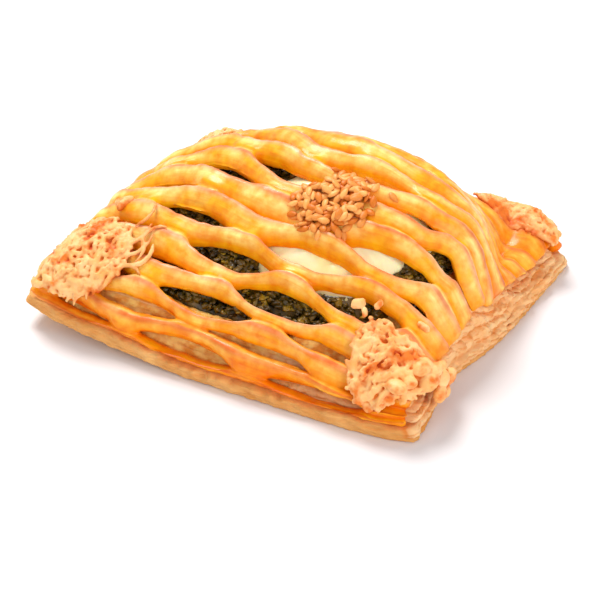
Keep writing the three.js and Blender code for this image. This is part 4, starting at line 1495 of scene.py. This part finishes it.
# %% Lay the shreds and crumbs
CRUMBS_FOR_EACH_SHRED = 1.6
SHREDS_TO, CRUMBS_TO = 0.96, 1.02
RIM_THINNING = 0.75
SHRED_LOW, SHRED_SPREAD = 0.3, 0.65
SHRED_TURN = 1.7
SHRED_LENGTH, SHRED_BEND = (3, 7.5), (-2, 2)
SHRED_WIDTH, SHRED_THICKNESS = (0.85, 1.2), (0.75, 1.1)
CRUMB_RISE, CRUMB_SIZE = (0.3, 1.0), (0.7, 1.5)
LUMPS = {
    "cheese_front": (
        (42.4, -39.2, 13.2, 3.4, 2.3, 1.6, 0.5), (45.8, -40.8, 12.7, 3.2, 2.1, 1.5, -0.4),
        (44.8, -37.4, 13.8, 2.8, 1.9, 1.5, 1.1), (47.4, -38.2, 12.8, 2.3, 1.9, 1.4, 0.2),
        (48.4, -33.2, 14.2, 2.4, 3.2, 1.9, 0),
        (50.6, -34, 11.5, 2.2, 3.2, 2.4, 0), (51.6, -30, 10, 1.9, 2.8, 2.2, 0),
        (51.8, -26.5, 8.6, 1.6, 2.6, 2.0, 0), (52.4, -32, 7.4, 1.5, 2.2, 2.2, 0),
        (52, -28.8, 6, 1.4, 1.9, 1.8, 0), (50.4, -31.5, 13, 2.0, 2.6, 1.6, 0),
        (51.3, -24, 8, 1.2, 1.6, 1.2, 0), (49.8, -27.5, 11, 1.8, 2.4, 1.4, 0),
    ),
}
TRAILING = {
    "cheese_left": (
        (-0.53, -0.66, 10, 1.0, 0.9, 0.9), (-0.5, -0.6, 9, 0.9, 1.2, -1.4),
        (-0.5, -0.72, 11, 1.0, 0.7, 1.2), (-0.54, -0.5, 8, 1.0, 1.4, 0.9),
        (-0.48, -0.67, 8, 0.9, 2.2, 1.4), (-0.52, -0.79, 9, 1.0, 0.4, -1.1),
        (-0.9, -0.93, 7, 1.0, -2.3, 0.8), (-0.88, -0.97, 8, 1.1, 0.2, 0.9),
        (-0.93, -0.86, 8, 1.0, -1.5, 0.6), (-0.7, -0.96, 8, 1.0, 0.1, 0.7),
    ),
}
TRAILING_RISE = 0.8
TRAILING_FLATNESS = 0.8


def thinned(away):
    """Less height towards a heap's rim."""
    return 1 - RIM_THINNING * away**3


def drawn_shreds(heap, draw):
    parts = []
    for _ in range(heap.shreds):
        away = SHREDS_TO * math.sqrt(draw.random())
        angle = 2 * math.pi * draw.random()
        middle = heap_place(heap, angle, away)
        rise = heap.thickness * (SHRED_LOW + SHRED_SPREAD * draw.random()) * thinned(away)
        along_rim = angle + math.pi / 2 + draw.uniform(-1, 1) * (SHRED_TURN - away)
        length, bend, width, thick = (
            draw.uniform(*span)
            for span in (SHRED_LENGTH, SHRED_BEND, SHRED_WIDTH, SHRED_THICKNESS)
        )
        parts.append((bent(
            straight_shred[0], middle, along_rim, length, bend, width, thick, rise,
            heap.limit_u, heap,
        ), straight_shred[1]))
    return parts


def drawn_crumbs(heap, draw):
    parts = []
    for _ in range(int(CRUMBS_FOR_EACH_SHRED * heap.shreds)):
        away = CRUMBS_TO * math.sqrt(draw.random())
        u, t = heap_place(heap, 2 * math.pi * draw.random(), away)
        rise = heap.thickness * draw.uniform(*CRUMB_RISE) * thinned(away)
        place = sheet_points(min(u, heap.limit_u), np.clip(t, -LIMIT_T, LIMIT_T), -rise)
        size = MM * np.array([draw.uniform(*CRUMB_SIZE) for _ in range(3)])
        parts.append((crumb[0] * size + place, crumb[1]))
    return parts


def trailing_shreds(heap):
    return [
        (bent(
            straight_shred[0], (u, t), heading, length, bend, width,
            TRAILING_FLATNESS * width, TRAILING_RISE, heap.limit_u,
        ), straight_shred[1])
        for u, t, length, width, heading, bend in TRAILING.get(heap.name, ())
    ]


def melted_lumps(heap):
    parts = []
    for x, y, z, *radii, turn in LUMPS.get(heap.name, ()):
        spin = np.array(Matrix.Rotation(turn, 3, "Z"))
        place = np.array((x, y, z)) * MM
        parts.append(((2 * MM * crumb[0] * radii) @ spin.T + place, crumb[1]))
    return parts


def heap_toppings(heap):
    draw = random.Random(heap.seed)
    parts = drawn_shreds(heap, draw) + drawn_crumbs(heap, draw)
    parts += trailing_shreds(heap) + melted_lumps(heap)
    return joined(f"{heap.name}_shreds", parts)


print("lumps and trailing shreds:", *(len(v) for d in (LUMPS, TRAILING) for v in d.values()))

# %% [markdown]
# The voxel remesh melts what overlaps into one skin. Two numbers are then kept on it for
# the finish: how high a point stands over the dough, and how far it lies in a hollow.

# %% Melt a heap
CHEESE_VOXEL = 0.26
CHEESE_NOISES = ((2.2, 0.3), (0.9, 0.16))
HOLLOW_ROUNDS = 14


def over_dough(places):
    """How far points in metres stand over the sheet, in millimetres."""
    x, y, z = places[:, 0] / MM, places[:, 1] / MM, places[:, 2] / MM
    u = np.clip(x / HALF_LENGTH, -1, 1)
    t = np.clip(y / half_width_at(u, np.sign(y)), -1, 1)
    return z - sheet_points(u, t, 0)[:, 2] / MM


def hollows(thing):
    """How far each vertex lies under its smoothed surroundings, in millimetres."""
    ends = np.empty(2 * len(thing.data.edges), dtype=np.int32)
    thing.data.edges.foreach_get("vertices", ends)
    first, second = ends.reshape(-1, 2).T
    places = places_of(thing).astype(float)
    count = len(places)
    shared = np.bincount(first, minlength=count) + np.bincount(second, minlength=count)
    smooth = places
    for _ in range(HOLLOW_ROUNDS):
        smooth = np.stack([
            np.bincount(first, line[second], count) + np.bincount(second, line[first], count)
            for line in smooth.T
        ], axis=1) / shared[:, None]
    normals = np.empty(3 * count, dtype=np.float32)
    thing.data.vertex_normals.foreach_get("vector", normals)
    return ((smooth - places) * normals.reshape(-1, 3)).sum(axis=1) / MM


def melt(name, pieces):
    """Joins pieces and melts them into one skin."""
    bpy.ops.object.select_all(action="DESELECT")
    for piece in pieces:
        piece.select_set(True)
    bpy.context.view_layer.objects.active = pieces[0]
    bpy.ops.object.join()
    heap = bpy.context.object
    heap.name = name
    heap.data.name = name
    apply_modifier(heap, "REMESH", mode="VOXEL", voxel_size=CHEESE_VOXEL * MM, adaptivity=0)
    apply_modifier(heap, "SMOOTH", factor=0.5, iterations=1)
    roughen(heap, *CHEESE_NOISES)
    store(heap, "over", over_dough(places_of(heap)))
    store(heap, "hollow", hollows(heap))
    return heap


print("heaps can be melted")

# %% [markdown]
# Melted cheese is pale where it stands high. It is orange-brown in its hollows, as painted
# shade, and where it lies low over the dough, partly fried and partly painted shade. A few
# small patches are toasted.

# %% Finish the heaps
def melted_cheese():
    finish = Finish("melted_cheese", roughness=0.45, soft=0.2, gloss=0.2)
    pale = finish.patchy(linear(249, 202, 140), linear(241, 174, 98), 260, sharpness=3)
    fried_and_shaded = finish.patchy(linear(226, 126, 34), linear(200, 88, 22), 260)
    # Low over the dough the colour turns orange-brown: partly fried cheese, partly painted shade
    # between the shreds.
    colour = finish.mix(fried_and_shaded, pale, finish.attribute("over", 0.1, 1.3))
    # Hollows are painted orange-brown as painted shade.
    colour = finish.mix(colour, fried_and_shaded, finish.attribute("hollow", 0.04, 0.22))
    toast = finish.patchy(WHITE, linear(239, 167, 99), 220, 0.585, 8)
    colour = finish.tint(colour, toast)
    finish.colour(colour)
    finish.bump(finish.noise(1300, 4), 0.3, 0.3)
    return finish.material


cheese_paint = melted_cheese()
for heap in HEAPS:
    toppings = heap_toppings(heap)
    melted = melt(f"grated_{heap.name}", [heap_core(heap), toppings])
    dress(melted, cheese_paint, "grated_cheese", heap.name)

# %% [markdown]
# ## Sesame seeds
#
# A seed is a flattened drop a little over 3 mm long. The seeds are dropped one by one on
# a height map of the lid: each settles on what is under it, takes its slope, and raises
# the map for the next one. That gives a real pile, which a scatter on the surface would
# not. No seed stands steeper or higher than in a pile that holds, so the slope and the
# height are limited.

# %% Model a seed and map the heights
SEED = (1.6, 0.9, 0.5)
SEED_NARROWING = 0.42
PILE = (13.5, -9.5, 10.4, 9.6)
CELL = 0.3
CELLS = 120
DROPPED_FROM = 60
NOTHING_BELOW = 20


def one_seed():
    """A flattened ball, drawn out to a point at one end."""
    bpy.ops.object.select_all(action="DESELECT")
    bpy.ops.mesh.primitive_uv_sphere_add(segments=12, ring_count=8, radius=1)
    seed = bpy.context.object
    places = places_of(seed)
    narrow = 1 - SEED_NARROWING * np.clip((places[:, 0] + 0.3) / 1.3, 0, 1) ** 1.4
    places[:, 1] *= narrow
    places[:, 2] *= narrow
    move_to(seed, places * np.array(SEED) * MM)
    return corners_of(seed)


class HeightMap:
    """Heights of what lies round the pile, in millimetres, on a square of small cells."""

    def __init__(self, thing, middle):
        tree = BVHTree.FromObject(thing, bpy.context.evaluated_depsgraph_get())
        self.left = middle[0] - CELL * CELLS / 2
        self.front = middle[1] - CELL * CELLS / 2
        self.heights = np.zeros((CELLS, CELLS))
        for i in range(CELLS):
            for j in range(CELLS):
                start = Vector((self.left + i * CELL, self.front + j * CELL, DROPPED_FROM)) * MM
                hit = tree.ray_cast(start, Vector((0, 0, -1)))[0]
                self.heights[i, j] = hit.z / MM if hit else NOTHING_BELOW

    def cells(self, x, y):
        """The cells under some places, as indices of the map."""
        i = np.clip(np.round((x - self.left) / CELL).astype(int), 0, CELLS - 1)
        j = np.clip(np.round((y - self.front) / CELL).astype(int), 0, CELLS - 1)
        return i, j


ground = HeightMap(lid, PILE[:2])
print("lid under the pile in mm:", round(float(ground.heights.max()), 1), "at its highest")

# %% [markdown]
# The first layer covers the whole pile, and the rest go nearer its middle. Each place is
# the best of a few random ones, the farthest from the seeds dropped before it.

# %% Drop the seeds
PILE_SEED = 8
SEED_COUNT = 180
FIRST_LAYER = 105
FIRST_REACH, LATER_REACH = 0.97, 0.72
SPOT_TRIES = 8
PILE_TOP = 37.5
STEEPEST = 0.55
FOOTPRINT = (1.5, 0.9)
FOOTPRINT_POINTS = 9
RESTING_PERCENTILE = 65
RESTING_SHARE = 0.6
BULGE_SHARE = 0.9
SEED_LEAN = 0.16
SHADE_IN_GAPS = 0.3
STRAY_SEEDS = ((26, -4), (17.5, -15), (23, -1.5))


def settle(x, y, spin):
    """Where a dropped seed comes to rest and the normal of what it lies on."""
    line = np.linspace(-1, 1, FOOTPRINT_POINTS)
    along, across = np.meshgrid(line, line)
    inside = along**2 + across**2 <= 1
    along, across = along[inside], across[inside]
    long, wide = FOOTPRINT
    dx = long * along * math.cos(spin) - wide * across * math.sin(spin)
    dy = long * along * math.sin(spin) + wide * across * math.cos(spin)
    cells = ground.cells(x + dx, y + dy)
    below = ground.heights[cells]
    slope_x, slope_y, _ = np.linalg.lstsq(
        np.stack([dx, dy, np.ones_like(dx)], axis=1), below, rcond=None
    )[0]
    slope_x, slope_y = np.clip((slope_x, slope_y), -STEEPEST, STEEPEST)
    tilt = slope_x * dx + slope_y * dy
    resting = np.percentile(below - tilt, RESTING_PERCENTILE) + RESTING_SHARE * SEED[2]
    high = min(resting, PILE_TOP)
    bulge = BULGE_SHARE * SEED[2] * np.sqrt(np.maximum(0, 1 - along**2 - across**2))
    ground.heights[cells] = np.maximum(below, high + tilt + bulge)
    return np.array((x, y, high)) * MM, Vector((-slope_x, -slope_y, 1)).normalized()


def farthest_spot(draw, taken, reach):
    """The best of a few random places in the pile: the one farthest from its neighbours."""
    best, best_gap = None, -1
    x, y, radius_x, radius_y = PILE
    for _ in range(SPOT_TRIES):
        part, angle = reach * math.sqrt(draw.random()), draw.uniform(0, 2 * math.pi)
        spot = (x + radius_x * part * math.cos(angle), y + radius_y * part * math.sin(angle))
        gap = min([math.dist(spot, other) for other in taken], default=0)
        if gap > best_gap:
            best, best_gap = spot, gap
    return best


def drop_seeds():
    draw = random.Random(PILE_SEED)
    corners, faces = one_seed()
    spots = []
    for i in range(SEED_COUNT):
        reach = FIRST_REACH if i < FIRST_LAYER else LATER_REACH
        spots.append(farthest_spot(draw, spots[-FIRST_LAYER:], reach))
    parts, values = [], []
    for x, y in [*spots, *STRAY_SEEDS]:
        spin = draw.uniform(0, 2 * math.pi)
        place, normal = settle(x, y, spin)
        turn = turned(normal, spin, draw.gauss(0, SEED_LEAN), draw.uniform(*ANY_HEADING))
        parts.append((corners @ turn.T + place, faces))
        # Seeds of the first layer lie in the pile's gaps and get painted shade.
        in_gaps = len(values) < FIRST_LAYER
        values.append(min(1, draw.random() + SHADE_IN_GAPS * in_gaps))
    return joined("sesame_seeds", parts, values)


seeds = drop_seeds()
print("seeds:", SEED_COUNT + len(STRAY_SEEDS))

# %% [markdown]
# Toasted sesame is a warm tan, and each seed has a tone of its own. Those of the first
# layer lie in the gaps of the pile, so they are painted a little darker, as painted shade.

# %% Finish the seeds
def toasted_sesame():
    finish = Finish("toasted_sesame", roughness=0.4, soft=0.1, gloss=0.25)
    pale = finish.patchy(linear(245, 184, 108), linear(232, 146, 60), 500)
    colour = finish.mix(pale, linear(212, 114, 30), finish.attribute("own", 0.3, 1.0))
    finish.colour(colour)
    finish.bump(finish.noise(2500, 3), 0.3, 0.15)
    return finish.material


dress(seeds, toasted_sesame(), "golden_pastry", "pastry_lattice")

# %% [markdown]
# ## Stray cheese
#
# A few shreds fell beside the heaps and melted onto the ribs. They are bent and melted
# with the same tools, and stay paler: their height over the dough is raised, so they get
# less of the darkening low down, which is partly fried brown and partly painted shade.

# %% Drop stray shreds
STRAYS = (
    (0.58, -0.64, 3.2, 2.0, 1.7, 0.5, 0.4), (-0.74, -0.4, 4.6, 2.2, 2.2, 0.2, 0.4),
    (-0.73, -0.43, 3.0, 1.8, 2.4, 1.4, 0.4), (-0.44, -0.74, 7.4, 1.2, 1.1, 1.05, 1.2),
    (0.66, -0.6, 2.2, 1.5, 1.3, 1.2, 0.4), (0.85, -0.56, 2.6, 1.6, 1.4, 0.3, 0.4),
    (0.62, -0.66, 1.9, 1.3, 1.2, 2.2, 0.4),
)
STRAY_RISE = 0.7
STRAY_LIMIT_U = 0.96
STRAY_PALER = 1


def make_strays():
    parts = []
    for u, t, length, width, thick, heading, bend in STRAYS:
        corners = bent(
            straight_shred[0], (u, t), heading, length, bend, width, thick,
            STRAY_RISE, STRAY_LIMIT_U,
        )
        parts.append((corners, straight_shred[1]))
    strays = melt("stray_cheese", [joined("strays", parts)])
    # Raised so that the strays get less of the darkening low down, which is partly painted
    # shade.
    store(strays, "over", over_dough(places_of(strays)) + STRAY_PALER)
    return strays


dress(make_strays(), cheese_paint, "grated_cheese", "pastry_lattice")
